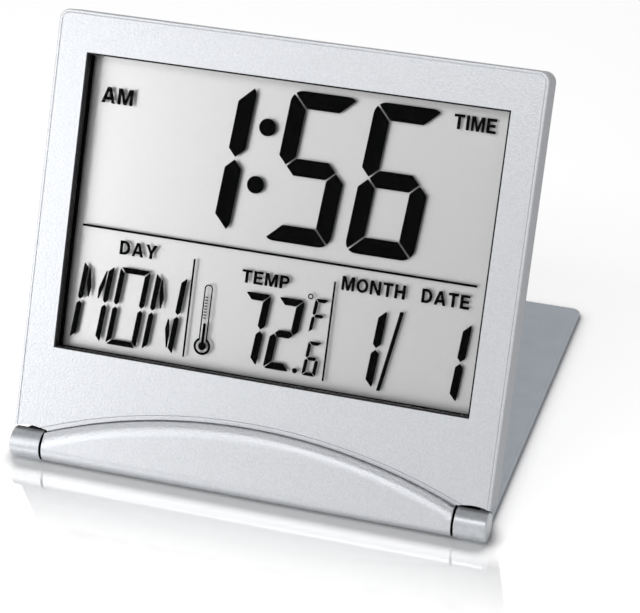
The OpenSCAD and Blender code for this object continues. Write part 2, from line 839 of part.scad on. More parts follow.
module negative_contact() {
    reach = board_hole_r + contact_reach;
    color(brass) on_clock()
        translate([cell_x, cell_y - contact_w / 2, reflector_back_z - slip_gap - contact_t])
            cube([reach, contact_w, contact_t]);
}

module battery_door() {
    color(silver) on_clock() translate([cell_x, cell_y, 0]) difference() {
        union() {
            post(0, 0, back_z, cover_in_z, 2 * door_r);
            difference() {
                union() {
                    post(0, 0, cover_in_z - eps, lug_top_z, 2 * door_r);
                    for (i = [0 : door_lugs - 1]) intersection() {
                        post(0, 0, cover_in_z + slip_gap, lug_top_z, 2 * lug_r);
                        rotate([0, 0, i * lug_step])
                            translate([0, -door_lug_w / 2, cover_in_z + slip_gap])
                                cube([2 * lug_r, door_lug_w, door_lug_t]);
                    }
                }
                post(0, 0, cover_in_z, lug_top_z + past, 2 * door_ring_r);
            }
        }
        translate([-slot_len / 2, -slot_w / 2, back_z - past]) cube([slot_len, slot_w, past + slot_depth]);
    }
}

// Buttons

module push_button(index) {
    x = button_xs[index];
    flange_z = cover_in_z + slip_gap;
    color(silver_dark) on_clock() {
        post(x, button_y, back_z + button_set, flange_z + eps, button_d);
        post(x, button_y, flange_z, flange_z + flange_t, button_d + 2 * flange_w);
        post(x, button_y, flange_z + flange_t - eps, pad_top_z, pad_d);
    }
}

module mode_button() { push_button(3); }

module set_button() { push_button(2); }

module up_button() { push_button(1); }

module down_button() { push_button(0); }

stand_plate();
left_hinge_cap();
right_hinge_cap();
hinge_pins();
stand_screws();
case_rim();
front_bezel();
chin_bar();
rear_cover();
case_screws();
display_holder();
front_polariser();
front_glass();
rear_glass();
reflector_film();
contact_strip();
circuit_board();
board_screws();
chip_dome();
quartz_crystal();
capacitors();
resistors();
temperature_sensor();
switch_domes();
buzzer_disc();
buzzer_ceramic();
buzzer_contacts();
coin_cell();
positive_contact();
negative_contact();
battery_door();
mode_button();
set_button();
up_button();
down_button();
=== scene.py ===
import math

import bpy
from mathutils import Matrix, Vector

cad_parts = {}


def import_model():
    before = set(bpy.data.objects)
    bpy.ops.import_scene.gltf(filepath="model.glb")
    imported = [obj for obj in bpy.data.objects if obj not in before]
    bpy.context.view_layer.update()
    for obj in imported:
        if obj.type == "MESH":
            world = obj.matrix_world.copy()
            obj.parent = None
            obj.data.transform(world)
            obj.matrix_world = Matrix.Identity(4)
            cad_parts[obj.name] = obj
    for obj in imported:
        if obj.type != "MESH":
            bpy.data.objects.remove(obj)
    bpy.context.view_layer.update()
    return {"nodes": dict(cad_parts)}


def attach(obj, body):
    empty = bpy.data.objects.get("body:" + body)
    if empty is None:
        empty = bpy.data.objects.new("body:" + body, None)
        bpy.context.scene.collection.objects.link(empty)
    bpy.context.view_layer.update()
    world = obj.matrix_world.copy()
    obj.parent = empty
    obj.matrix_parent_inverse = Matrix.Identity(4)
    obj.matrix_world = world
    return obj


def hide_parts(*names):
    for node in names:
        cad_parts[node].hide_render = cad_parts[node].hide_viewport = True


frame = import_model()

# Looks of the folding travel alarm clock, built around its CAD frame.
# Sizes are in millimetres. Clock pieces are modelled lying flat: x across the face, y up the face, z out
# of the face, with the origin on the centre line of the hinge caps. lean_back() then sets them in place.

MM = 0.001

# Lean and place of the clock
LEAN = 24.6
NOSE_R = 3.4
NOSE_RISE = 4.0
NOSE_Y = -47.65

# Layers, on z
FACE = 1.2
BEZEL_BACK = 0.0
FILM = -0.8
FRONT_GLASS = -1.0
REAR_GLASS = -2.1
CRYSTAL = -2.07
CRYSTAL_T = 0.02
REFLECTOR = -3.2
REFLECTOR_BACK = -3.4
RIM_JOINT = -3.0
COVER_IN = -6.28
BACK = -7.28

# Outline of the case
CASE_HALF = 55.0
CASE_TOP = 97.414
CASE_CORNER_Y = 3.718
CORNER_R = 2.4
LEAST_R = 0.3
CASE_WALL = 1.2
RIM_W = 0.6
GROOVE = 0.15
GROOVE_DEPTH = 0.12
LEDGE_W = 1.6
LEDGE_T = 1.0

# Window, arch and chin
WINDOW_HALF = 47.4
WINDOW_LOW = 22.918
WINDOW_TOP = 88.118
LIP = 0.35
GLASS_HALF = 49.0
GLASS_TOP = 89.718
GLASS_LOW = 17.518
REAR_GLASS_LOW = 21.318
ARCH_R = 131.519
ARCH_CENTRE_Y = -119.419
ARCH_STRIP = 0.95
ARCH_DROP = 0.25
CHIN_HALF = 47.3
CHIN_R = 3.35
CHIN_SLOPE = 2.2
CHIN_SLOPE_RISE = 1.3
CHIN_GAP = 0.15
ARCH_GAP = 0.08
STRIP_LINE = 0.16
CHIN_WALL = 1.6
CHIN_END = 7.0

# Hinge
AXIS_Y = 1.968
AXIS_Z = -5.98
BARREL_ROUND = 1.28
FLOOR_Y = 0.668
PIN_R = 0.63
LUG_LEN = 7.0
PIN_IN = 4.5
HINGE_BACK = 6.256
HINGE_HEIGHT = 3.3
EAR_R = 1.45
EAR_LEN = 4.6
EAR_START = 1.2
FOOT_START = 0.1
FOOT_SHARE = 0.97
CAP_IN = 47.8
PIN_OUT = 3.6

# Shallow arch in the lower corners of the case over each hinge cap: its radius and height
CAP_ARCH_R = 11.8
CAP_ARCH_RISE = 0.5

# Stand plate
PLATE_HALF = 54.0
PLATE_FRONT = 2.937
PLATE_FAR = 98.7
PLATE_T = 1.6
PLATE_CORNER = 2.0
TAB_IN = 48.5
TAB_REACH = 0.4
CAP_SCREW = (51.25, 1.537)
SCREW_HEAD_R = 1.43
SCREW_SEAT = 0.9

# Battery door, buttons, screws and sound holes on the back
CELL = (-24.0, 50.518)
DOOR_R = 12.0
DOOR_FIT = 0.15
DOOR_RING_R = 10.6
DOOR_LUG_R = 13.2
DOOR_LUG_W = 5.0
DOOR_LUG_TOP = -5.7
DOOR_LUG_T = 0.5
DOOR_LUGS = 3
DOOR_TURN = 40.0
SLOT_LEN = 11.0
SLOT_W = 1.6
SLOT_DEPTH = 0.5
SLOT_END_R = 0.784
BUTTON_Y = 80.118
BUTTON_X = {"down": -25.5, "up": -8.5, "set": 8.5, "mode": 25.5}
BUTTON_R = 2.5
BUTTON_FIT = 0.12
BUTTON_SET = 0.1
DISH_R = 12.0
DISH_DEPTH = 0.12
BUTTON_FLANGE = (-6.2, -5.9)
FLANGE_R = 3.2
PAD_TOP = -5.38
PAD_R = 1.0
RECESS_R = 5.0
RECESS_DEPTH = 0.45
POSTS = [(x, y) for x in (-52.3, 52.3) for y in (6.418, 94.718)]
POST_R = 1.8
BUZZER = (26.0, 50.518)
BUZZER_R = 10.0
BUZZER_SEAT = 0.3
CERAMIC_R = 7.0
SOUND_R = 0.8
SOUND_RING = 4.5
SOUND_COUNT = 6

# Black ring between the two glasses, a seal whose left side is painted shade of the window's wall: its outer
# and its inner outline, as left, low, right and top
SHADE_SEAL_OUTER = (-48.8, 21.5, 48.8, 89.5)
SHADE_SEAL_INNER = (-47.0, 22.95, 47.6, 88.3)

# Radii of the rounded edges
RIM_ROUND = 0.3
BEZEL_ROUND = 0.1
CHIN_RIDGE_ROUND = 0.2
CHIN_TOP_ROUND = 1.3
COVER_ROUND = 0.9
DOOR_ROUND = 0.25
BUTTON_ROUND = 0.35
CAP_OUTER_ROUND = 0.45
CAP_INNER_ROUND = 0.15
PLATE_ROUND = 0.75

# Radii of the edges that a mould or a cutter leaves
FILM_EDGE = 0.03
FINE_EDGE = 0.05
COVER_EDGE = 0.08
STOUT_EDGE = 0.12

# Amount by which a cut runs past the solid, and a level well above the arch
PAST = 5.0
ABOVE_ARCH = 40.0

# Amounts by which large and small solids run into each other where they are joined
OVERLAP = 1.0
SINK = 0.1

# Air left between layers that would otherwise share a face
HAIR = 0.015

# Distances within which levels count as one and points are merged, and the turn of a seam on a flat face
SAME_LEVEL = 0.01
SAME_POINT = 0.004
FLAT_TURN = 0.1

# Share of a unit normal from which a face counts as facing an end, or as facing down
FACING = 0.9
FACING_DOWN = 0.7


# Modelling by hand

def only(piece):
    """Makes piece the one selected and active object."""
    bpy.ops.object.select_all(action="DESELECT")
    piece.select_set(True)
    bpy.context.view_layer.objects.active = piece


def block(name, low, high):
    """Box between two corners."""
    bpy.ops.object.select_all(action="DESELECT")
    bpy.ops.mesh.primitive_cube_add(size=1)
    piece = bpy.context.object
    piece.name = name
    piece.location = [(a + b) / 2 * MM for a, b in zip(low, high)]
    piece.scale = [(b - a) * MM for a, b in zip(low, high)]
    bpy.ops.object.transform_apply(location=True, rotation=True, scale=True)
    return piece


def post(name, x, y, low, high, radius, sides=64):
    """Round bar that stands on z between two heights."""
    bpy.ops.object.select_all(action="DESELECT")
    place = (x * MM, y * MM, (low + high) / 2 * MM)
    bpy.ops.mesh.primitive_cylinder_add(vertices=sides, radius=radius * MM, depth=(high - low) * MM,
                                        location=place)
    piece = bpy.context.object
    piece.name = name
    bpy.ops.object.transform_apply(location=True, rotation=True, scale=True)
    return piece


def bar(name, left, right, y, z, radius, sides=96):
    """Round bar that lies along x between two ends."""
    bpy.ops.object.select_all(action="DESELECT")
    place = ((left + right) / 2 * MM, y * MM, z * MM)
    bpy.ops.mesh.primitive_cylinder_add(vertices=sides, radius=radius * MM, depth=(right - left) * MM,
                                        location=place, rotation=(0, math.pi / 2, 0))
    piece = bpy.context.object
    piece.name = name
    bpy.ops.object.transform_apply(location=True, rotation=True, scale=True)
    return piece


def round_edges(piece, radius, segments, chosen):
    """Rounds the edges for which chosen(end, other_end) is true, the ends being in millimetres."""
    only(piece)
    bpy.ops.object.mode_set(mode="EDIT")
    bpy.ops.mesh.select_mode(type="EDGE")
    bpy.ops.mesh.select_all(action="DESELECT")
    bpy.ops.object.mode_set(mode="OBJECT")
    ends = [vertex.co / MM for vertex in piece.data.vertices]
    for edge in piece.data.edges:
        edge.select = chosen(ends[edge.vertices[0]], ends[edge.vertices[1]])
    bpy.ops.object.mode_set(mode="EDIT")
    bpy.ops.mesh.bevel(offset=radius * MM, segments=segments, profile=0.5, affect="EDGES")
    bpy.ops.object.mode_set(mode="OBJECT")


def at(value, *levels):
    """True if the levels are all the given value."""
    return all(abs(level - value) < SAME_LEVEL for level in levels)


def combine(piece, tool, operation):
    """Joins a tool to piece, cuts it away or keeps what both hold; the tool is used up."""
    modifier = piece.modifiers.new("combine", "BOOLEAN")
    modifier.operation = operation
    modifier.solver = "EXACT"
    modifier.object = tool
    only(piece)
    bpy.ops.object.modifier_apply(modifier=modifier.name)
    bpy.data.objects.remove(tool)


def cut(piece, *tools):
    for tool in tools:
        combine(piece, tool, "DIFFERENCE")


def join(piece, *tools):
    for tool in tools:
        combine(piece, tool, "UNION")


def clean(piece):
    """Merges doubles and clears the seams that joins and cuts leave on flat faces."""
    only(piece)
    bpy.ops.object.mode_set(mode="EDIT")
    bpy.ops.mesh.select_all(action="SELECT")
    bpy.ops.mesh.remove_doubles(threshold=SAME_POINT * MM)
    bpy.ops.mesh.dissolve_limited(angle_limit=math.radians(FLAT_TURN))
    bpy.ops.mesh.normals_make_consistent(inside=False)
    bpy.ops.object.mode_set(mode="OBJECT")


def break_edges(piece, radius, segments=2, angle=40):
    """Breaks the sharp edges that are left, as a mould does, and smooths the shading."""
    clean(piece)
    modifier = piece.modifiers.new("break", "BEVEL")
    modifier.width = radius * MM
    modifier.segments = segments
    modifier.limit_method = "ANGLE"
    modifier.angle_limit = math.radians(angle)
    modifier.use_clamp_overlap = False
    only(piece)
    bpy.ops.object.modifier_apply(modifier=modifier.name)
    smooth(piece)


def smooth(piece, angle=35):
    """Smooth shading over rounded edges, with flat faces kept flat."""
    only(piece)
    bpy.ops.object.shade_smooth_by_angle(angle=math.radians(angle))
    modifier = piece.modifiers.new("flat faces", "WEIGHTED_NORMAL")
    modifier.keep_sharp = True
    bpy.ops.object.modifier_apply(modifier=modifier.name)


def lean_back(piece):
    """Leans a piece of the flat drawing back and sets it on the hinge caps' centre line."""
    piece.rotation_euler = (math.radians(90 - LEAN), 0, 0)
    piece.location = (0, NOSE_Y * MM, NOSE_RISE * MM)
    only(piece)
    bpy.ops.object.transform_apply(location=True, rotation=True, scale=True)


def set_on_table(piece):
    """Moves a piece that was drawn with y = 0 on the hinge caps' centre line and z = 0 on the table."""
    piece.location = (0, NOSE_Y * MM, 0)
    only(piece)
    bpy.ops.object.transform_apply(location=True, rotation=True, scale=True)


def paint_shade_black(piece, chosen):
    """Paints faces black as painted shade if chosen(middle, normal) is true, the middle being in
    millimetres.
    """
    for face in piece.data.polygons:
        face.material_index = 1 if chosen(face.center / MM, face.normal) else 0


def hand_over(piece, body, slot, material, *nodes):
    """Gives a finished piece its finish, its body and the CAD nodes that it stands for."""
    piece.data.materials.append(material)
    # Faces picked as painted shade take the black as a second finish
    if any(face.material_index for face in piece.data.polygons):
        piece.data.materials.append(black_abs_and_painted_shade)
    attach(piece, body)
    if nodes:
        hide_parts(*nodes)


# Materials

def linear(colour):
    """sRGB hex colour as linear red, green, blue and alpha."""
    channels = [int(colour[i:i + 2], 16) / 255 for i in (1, 3, 5)]
    return [c / 12.92 if c <= 0.04045 else ((c + 0.055) / 1.055) ** 2.4 for c in channels] + [1.0]


def add_node(tree, kind, inputs, **settings):
    """Adds a shader node with its settings; an input that is a socket is linked, any other is set."""
    node = tree.nodes.new(kind)
    for name, value in settings.items():
        setattr(node, name, value)
    for name, value in inputs.items():
        if isinstance(value, bpy.types.NodeSocket):
            tree.links.new(value, node.inputs[name])
        else:
            node.inputs[name].default_value = value
    return node


def graded(tree, value, low, high, start=0.0, end=1.0):
    """Level that goes from start to end while the value goes from low to high."""
    levels = {"Value": value, "From Min": low, "From Max": high, "To Min": start, "To Max": end}
    return add_node(tree, "ShaderNodeMapRange", levels).outputs["Result"]


def worked_out(tree, first, second, operation="MULTIPLY"):
    """Product of two values, or what another operation makes of them."""
    return add_node(tree, "ShaderNodeMath", {0: first, 1: second}, operation=operation).outputs[0]


def speckled(name, dark, light, grain, relief, rough, detail=2.0, **shader_values):
    """Surface with a fine grain of the given size in two close colours, with its relief and gloss.

    grain and relief are in millimetres, and rough is the lowest and highest roughness.
    """
    material = bpy.data.materials.new(name)
    material.use_nodes = True
    tree = material.node_tree
    shader = tree.nodes["Principled BSDF"]
    place = add_node(tree, "ShaderNodeTexCoord", {}).outputs["Object"]
    noise = add_node(tree, "ShaderNodeTexNoise",
                     {"Vector": place, "Scale": 1 / (grain * MM), "Detail": detail, "Roughness": 0.6})
    height = graded(tree, noise.outputs["Fac"], 0.3, 0.7)
    # A colour mix takes its share and its two colours on these three numbered inputs
    tint = add_node(tree, "ShaderNodeMix", {0: height, 6: linear(dark), 7: linear(light)}, data_type="RGBA")
    tree.links.new(tint.outputs[2], shader.inputs["Base Color"])
    tree.links.new(graded(tree, height, 0, 1, *rough), shader.inputs["Roughness"])
    bump = add_node(tree, "ShaderNodeBump", {"Height": height, "Strength": 1.0, "Distance": relief * MM})
    tree.links.new(bump.outputs["Normal"], shader.inputs["Normal"])
    for socket, value in shader_values.items():
        shader.inputs[socket.replace("_", " ")].default_value = value
    return material


# Silver paint sprayed on moulded ABS: its flakes give a soft metallic sheen, and the drying spray leaves
# a fine orange-peel grain. The grain is drawn about twice as coarse as the real one, so that it shows.
silver_sprayed_abs = speckled("silver_sprayed_abs", "#D3D5D9", "#DFE1E5", grain=0.45, relief=0.025,
                              rough=(0.33, 0.4), Metallic=0.45, Specular_Tint=linear("#8C8E90"))

# The same paint under a clear lacquer, rubbed smooth: brighter reflections and hardly any grain.
silver_lacquered_abs = speckled("silver_lacquered_abs", "#CACDD1", "#D6D9DD", grain=1.2, relief=0.002,
                                rough=(0.3, 0.36), Metallic=0.4)

# Bluish silver lacquer of the stand plate, smooth, with a faint cloudiness.
plate_lacquered_abs = speckled("plate_lacquered_abs", "#CAD2DC", "#D4DBE4", grain=6.0, relief=0.002,
                               rough=(0.3, 0.36), Metallic=0.3)

# Black ABS as it leaves a finely etched mould: dark, with a dull sheen.
# The same black is also painted on faces of the silver pieces as shade.
black_abs_and_painted_shade = speckled("black_abs_and_painted_shade", "#060607", "#0D0D0E", grain=0.3, relief=0.006,
                             rough=(0.5, 0.65), IOR=1.53, Specular_IOR_Level=0.25)

# Grey ABS of the buttons, from a satin mould.
grey_moulded_abs = speckled("grey_moulded_abs", "#868B90", "#90959A", grain=0.4, relief=0.004,
                            rough=(0.4, 0.5), IOR=1.53)

# Float glass and polariser film of the display: clear, so that nearly all light passes.
display_glass = speckled("display_float_glass", "#3A3F3B", "#454A46", grain=20.0, relief=0.0005,
                         rough=(0.04, 0.07), IOR=1.52, Alpha=0.04)

# Liquid crystal that is switched on: it stops the light, so it looks flat black; the seal ring takes the
# same black as painted shade.
switched_crystal = speckled("switched_liquid_crystal", "#040404", "#080808", grain=2.0, relief=0.0,
                            rough=(0.5, 0.6), IOR=1.5, Specular_IOR_Level=0.0)

# Aluminium film behind the display, pebbled so that it scatters the light.
pebbled_aluminium = speckled("pebbled_aluminium_film", "#CACACA", "#D3D3D3", grain=0.25, relief=0.004,
                             rough=(0.32, 0.38), Metallic=0.7)

# Zinc-plated steel of the screws, pins, domes and crystal can.
plated_steel = speckled("zinc_plated_steel", "#A9ABAC", "#BFC1C2", grain=0.6, relief=0.002,
                        rough=(0.25, 0.38), Metallic=1.0)

# Stainless can of the coin cell, finely rolled.
stainless_can = speckled("rolled_stainless_can", "#B4B5B5", "#C8C9C9", grain=0.9, relief=0.002,
                         rough=(0.24, 0.34), Metallic=1.0)

# Rolled brass of the contacts and the buzzer disc.
rolled_brass = speckled("rolled_brass", "#B8934A", "#C9A55A", grain=1.0, relief=0.002,
                        rough=(0.28, 0.4), Metallic=1.0)

# Glass-fibre board under green solder mask: the weave shows through as a soft mottle.
masked_board = speckled("solder_masked_board", "#14522E", "#1C6138", grain=0.8, relief=0.01,
                        rough=(0.3, 0.42), IOR=1.55)

# Fired ceramic of the buzzer's layer and of the chip capacitors.
fired_ceramic = speckled("fired_ceramic", "#E2DED4", "#EFECE4", grain=0.3, relief=0.003,
                         rough=(0.45, 0.6), IOR=1.6)
tan_ceramic = speckled("tan_capacitor_ceramic", "#A07F58", "#B38F66", grain=0.3, relief=0.003,
                       rough=(0.45, 0.6), IOR=1.6)

# Epoxy resin poured over the chip, and the black sensor and resistor bodies.
poured_epoxy = speckled("poured_black_epoxy", "#0E0E0E", "#181818", grain=1.5, relief=0.01,
                        rough=(0.25, 0.4), IOR=1.55)

# Layered silicone rubber of the contact strip.
layered_silicone = speckled("layered_silicone_rubber", "#C78E96", "#DDA6AC", grain=0.2, relief=0.004,
                            rough=(0.6, 0.75), IOR=1.41)

# Grey ink of the printed words on the back.
printed_ink = speckled("grey_printed_ink", "#3C3F43", "#484B4F", grain=0.2, relief=0.0,
                       rough=(0.5, 0.6), IOR=1.5)


# Case

def rounded_block(name, half, low_y, top_y, low_z, high_z, radius):
    """Plate of the case's outline: square below, with two rounded upper corners."""
    piece = block(name, (-half, low_y, low_z), (half, top_y, high_z))
    round_edges(piece, max(radius, LEAST_R), 12, lambda a, b: at(top_y, a.y, b.y) and not at(a.z, b.z))
    return piece


def upper_outline(level_y, level_z):
    """Chooses the edges of a plate's face on one level, apart from its lower edge."""
    return lambda a, b: at(level_z, a.z, b.z) and not at(level_y, a.y, b.y)


def case_rim():
    rim = rounded_block("case_rim", CASE_HALF, CASE_CORNER_Y, CASE_TOP, RIM_JOINT, FACE, CORNER_R)
    round_edges(rim, RIM_ROUND, 4, upper_outline(CASE_CORNER_Y, FACE))
    join(rim, block("tongue", (-CHIN_HALF, FLOOR_Y, RIM_JOINT),
                    (CHIN_HALF, CASE_CORNER_Y + OVERLAP, BEZEL_BACK)))
    inner = CASE_WALL + LEDGE_W
    cut(rim,
        rounded_block("pocket", CASE_HALF - RIM_W, FLOOR_Y - PAST, CASE_TOP - RIM_W, BEZEL_BACK, FACE + PAST,
                      CORNER_R - RIM_W),
        rounded_block("hollow", CASE_HALF - CASE_WALL, CASE_CORNER_Y + CASE_WALL, CASE_TOP - CASE_WALL,
                      RIM_JOINT - PAST, BEZEL_BACK - LEDGE_T, CORNER_R - CASE_WALL),
        rounded_block("opening", CASE_HALF - inner, CASE_CORNER_Y + inner, CASE_TOP - inner,
                      RIM_JOINT - PAST, FACE + PAST, CORNER_R - inner))
    join(rim, *[post("screw_post", x, y, RIM_JOINT, BEZEL_BACK - LEDGE_T / 2, POST_R) for x, y in POSTS])
    cut(rim, *cap_arches())
    break_edges(rim, FINE_EDGE)
    # Painted shade: the rim's underside over each hinge cap is black
    paint_shade_black(rim, shaded_over_a_cap)
    lean_back(rim)
    hand_over(rim, "clock", "silver_paint", silver_sprayed_abs, "case_rim")


def cap_arches():
    """Tools that cut the shallow arch over each hinge cap."""
    middle = (CAP_IN + CASE_HALF) / 2
    centre_y = CASE_CORNER_Y + CAP_ARCH_RISE - CAP_ARCH_R
    return [post("cap_arch", x, centre_y, RIM_JOINT - PAST, FACE + PAST, CAP_ARCH_R, sides=256)
            for x in (-middle, middle)]


def shaded_over_a_cap(middle, normal):
    """True on the underside of the case's lower corners over the caps, which is painted black as shade."""
    low = middle.y < CASE_CORNER_Y + CAP_ARCH_RISE
    return low and normal.y < -FACING_DOWN and abs(middle.x) > CHIN_HALF


def arch_disc(name, margin, low, high):
    """Large disc under the arch, widened by a margin."""
    return post(name, 0, ARCH_CENTRE_Y, low, high, ARCH_R + margin, sides=720)


def strip_line():
    """Tool for the fine line along the upper edge of the lowered strip."""
    margin = ARCH_GAP + ARCH_STRIP
    line = arch_disc("strip_line", margin + STRIP_LINE, FACE - 2 * ARCH_DROP, FACE + PAST)
    cut(line, arch_disc("strip_core", margin, FACE - PAST, FACE + 2 * PAST))
    return line


def front_bezel():
    edge = RIM_W + GROOVE
    bezel = rounded_block("front_bezel", CASE_HALF - edge, CASE_CORNER_Y, CASE_TOP - edge, BEZEL_BACK, FACE,
                          CORNER_R - edge)
    round_edges(bezel, BEZEL_ROUND, 3, upper_outline(CASE_CORNER_Y, FACE))
    edge = RIM_W + HAIR
    join(bezel,
         rounded_block("groove_floor", CASE_HALF - edge, CASE_CORNER_Y, CASE_TOP - edge, BEZEL_BACK,
                       FACE - GROOVE_DEPTH, CORNER_R - edge),
         block("tongue", (-CHIN_HALF, FLOOR_Y, BEZEL_BACK), (CHIN_HALF, CASE_CORNER_Y + OVERLAP, FACE)))
    cut(bezel,
        block("window", (-WINDOW_HALF - LIP, WINDOW_LOW - LIP, BEZEL_BACK - PAST),
              (WINDOW_HALF + LIP, WINDOW_TOP + LIP, FACE + PAST)),
        arch_disc("arch", ARCH_GAP, BEZEL_BACK - PAST, FACE + PAST),
        arch_disc("strip", ARCH_GAP + ARCH_STRIP, FACE - ARCH_DROP, FACE + PAST),
        strip_line(),
        bar("chin_room", -CHIN_HALF - PAST, CHIN_HALF + PAST, 0, 0, CHIN_R + CHIN_GAP),
        *cap_arches())
    break_edges(bezel, FINE_EDGE)
    # Painted shade: the bezel's underside over each hinge cap is black
    paint_shade_black(bezel, shaded_over_a_cap)
    lean_back(bezel)
    hand_over(bezel, "clock", "silver_paint", silver_sprayed_abs, "front_bezel")


def chin_bar():
    ridge = CHIN_R - CHIN_SLOPE_RISE
    bpy.ops.object.select_all(action="DESELECT")
    place = (0, ARCH_CENTRE_Y * MM, (ridge + CHIN_R) / 2 * MM)
    bpy.ops.mesh.primitive_cone_add(vertices=720, radius1=ARCH_R * MM, radius2=(ARCH_R - CHIN_SLOPE) * MM,
                                    depth=CHIN_SLOPE_RISE * MM, location=place)
    chin = bpy.context.object
    chin.name = "chin_bar"
    bpy.ops.object.transform_apply(location=True, rotation=True, scale=True)
    for face in chin.data.polygons:
        face.select = face.normal.z < -FACING
    bpy.ops.object.mode_set(mode="EDIT")
    bpy.ops.mesh.select_mode(type="FACE")
    bpy.ops.mesh.extrude_region_move(TRANSFORM_OT_translate={"value": (0, 0, (BEZEL_BACK - ridge) * MM)})
    bpy.ops.object.mode_set(mode="OBJECT")
    round_edges(chin, CHIN_RIDGE_ROUND, 4, lambda a, b: at(ridge, a.z, b.z))
    round_edges(chin, CHIN_TOP_ROUND, 8, lambda a, b: at(CHIN_R, a.z, b.z))
    width = block("width", (-CHIN_HALF, 0, BEZEL_BACK - PAST), (CHIN_HALF, ABOVE_ARCH, FACE + PAST))
    combine(chin, width, "INTERSECT")
    join(chin, bar("nose", -CHIN_HALF, CHIN_HALF, 0, 0, CHIN_R, sides=160))
    cut(chin, block("back", (-CHIN_HALF - PAST, FLOOR_Y, -PAST), (CHIN_HALF + PAST, ABOVE_ARCH, BEZEL_BACK)))
    hollow = arch_disc("hollow", -CHIN_WALL, BEZEL_BACK - PAST, CHIN_R - CHIN_WALL)
    reach = CHIN_HALF - CHIN_END
    room = block("room", (-reach, FLOOR_Y + CASE_WALL, BEZEL_BACK - 2 * PAST),
                 (reach, ABOVE_ARCH, FACE + PAST))
    combine(hollow, room, "INTERSECT")
    cut(chin, hollow)
    break_edges(chin, STOUT_EDGE, segments=3, angle=50)
    # Painted shade: the chin's end faces in the seams beside the caps are black
    paint_shade_black(chin, lambda middle, normal: abs(middle.x) > CHIN_HALF - HAIR and abs(normal.x) > FACING)
    lean_back(chin)
    hand_over(chin, "clock", "silver_paint", silver_sprayed_abs, "chin_bar")


def turned(piece, angle):
    """Turns a piece about z, in degrees, and sets the turn in its mesh."""
    piece.rotation_euler = (0, 0, math.radians(angle))
    only(piece)
    bpy.ops.object.transform_apply(location=True, rotation=True, scale=True)
    return piece


def shifted(piece, x, y):
    """Moves a piece on the flat drawing and sets the place in its mesh."""
    piece.location = (x * MM, y * MM, 0)
    only(piece)
    bpy.ops.object.transform_apply(location=True, rotation=True, scale=True)
    return piece


def rear_cover():
    cover = rounded_block("rear_cover", CASE_HALF, CASE_CORNER_Y, CASE_TOP, BACK, RIM_JOINT, CORNER_R)
    round_edges(cover, COVER_ROUND, 5, lambda a, b: at(BACK, a.z, b.z))
    tongue = block("tongue", (-CHIN_HALF, FLOOR_Y, BACK),
                   (CHIN_HALF, CASE_CORNER_Y + 2 * OVERLAP, RIM_JOINT))
    round_edges(tongue, BARREL_ROUND, 8, lambda a, b: at(BACK, a.z, b.z) and at(FLOOR_Y, a.y, b.y))
    join(cover, tongue)
    cut(cover,
        rounded_block("hollow", CASE_HALF - CASE_WALL, CASE_CORNER_Y + CASE_WALL, CASE_TOP - CASE_WALL,
                      COVER_IN, RIM_JOINT + PAST, CORNER_R - CASE_WALL),
        block("low_hollow", (LUG_LEN - CHIN_HALF, FLOOR_Y + CASE_WALL, COVER_IN),
              (CHIN_HALF - LUG_LEN, CASE_CORNER_Y + 2 * CASE_WALL, RIM_JOINT + PAST)))
    join(cover, *[post("screw_post", x, y, COVER_IN - SINK, RIM_JOINT, POST_R) for x, y in POSTS])
    seat = post("buzzer_seat", *BUZZER, COVER_IN - SINK, COVER_IN + BUZZER_SEAT, BUZZER_R)
    cut(seat, post("seat_hole", *BUZZER, COVER_IN - PAST, COVER_IN + PAST, CERAMIC_R))
    join(cover, seat)
    cut(cover, post("door_hole", *CELL, BACK - PAST, COVER_IN + PAST, DOOR_R + DOOR_FIT, sides=128))
    for step in range(DOOR_LUGS):
        notch = block("notch", (0, -DOOR_LUG_W / 2 - DOOR_FIT, BACK - PAST),
                      (DOOR_LUG_R + DOOR_FIT, DOOR_LUG_W / 2 + DOOR_FIT, COVER_IN + PAST))
        cut(cover, shifted(turned(notch, 360 / DOOR_LUGS * step + DOOR_TURN), *CELL))
    reach = BUTTON_X["mode"]
    recess = block("recess", (-reach, BUTTON_Y - RECESS_R, BACK - PAST),
                   (reach, BUTTON_Y + RECESS_R, BACK + RECESS_DEPTH))
    join(recess, *[post("end", x, BUTTON_Y, BACK - PAST, BACK + RECESS_DEPTH, RECESS_R)
                   for x in (-reach, reach)])
    cut(cover, recess)
    cut(cover, *[post("button_hole", x, BUTTON_Y, BACK - PAST, COVER_IN + PAST, BUTTON_R + BUTTON_FIT)
                 for x in BUTTON_X.values()])
    for x, y in POSTS:
        cut(cover, post("head_seat", x, y, BACK - PAST, BACK + SCREW_SEAT, SCREW_HEAD_R))
    spots = [BUZZER]
    for step in range(SOUND_COUNT):
        turn = math.tau * step / SOUND_COUNT
        spots.append((BUZZER[0] + SOUND_RING * math.cos(turn), BUZZER[1] + SOUND_RING * math.sin(turn)))
    cut(cover, *[post("sound_hole", x, y, BACK - PAST, COVER_IN + PAST, SOUND_R, sides=32)
                 for x, y in spots])
    for left, right in ((-CHIN_HALF - PAST, PIN_IN - CHIN_HALF), (CHIN_HALF - PIN_IN, CHIN_HALF + PAST)):
        cut(cover, bar("pin_bore", left, right, AXIS_Y, AXIS_Z, PIN_R, sides=48))
    break_edges(cover, COVER_EDGE)
    lean_back(cover)
    hand_over(cover, "clock", "silver_paint", silver_sprayed_abs, "rear_cover")


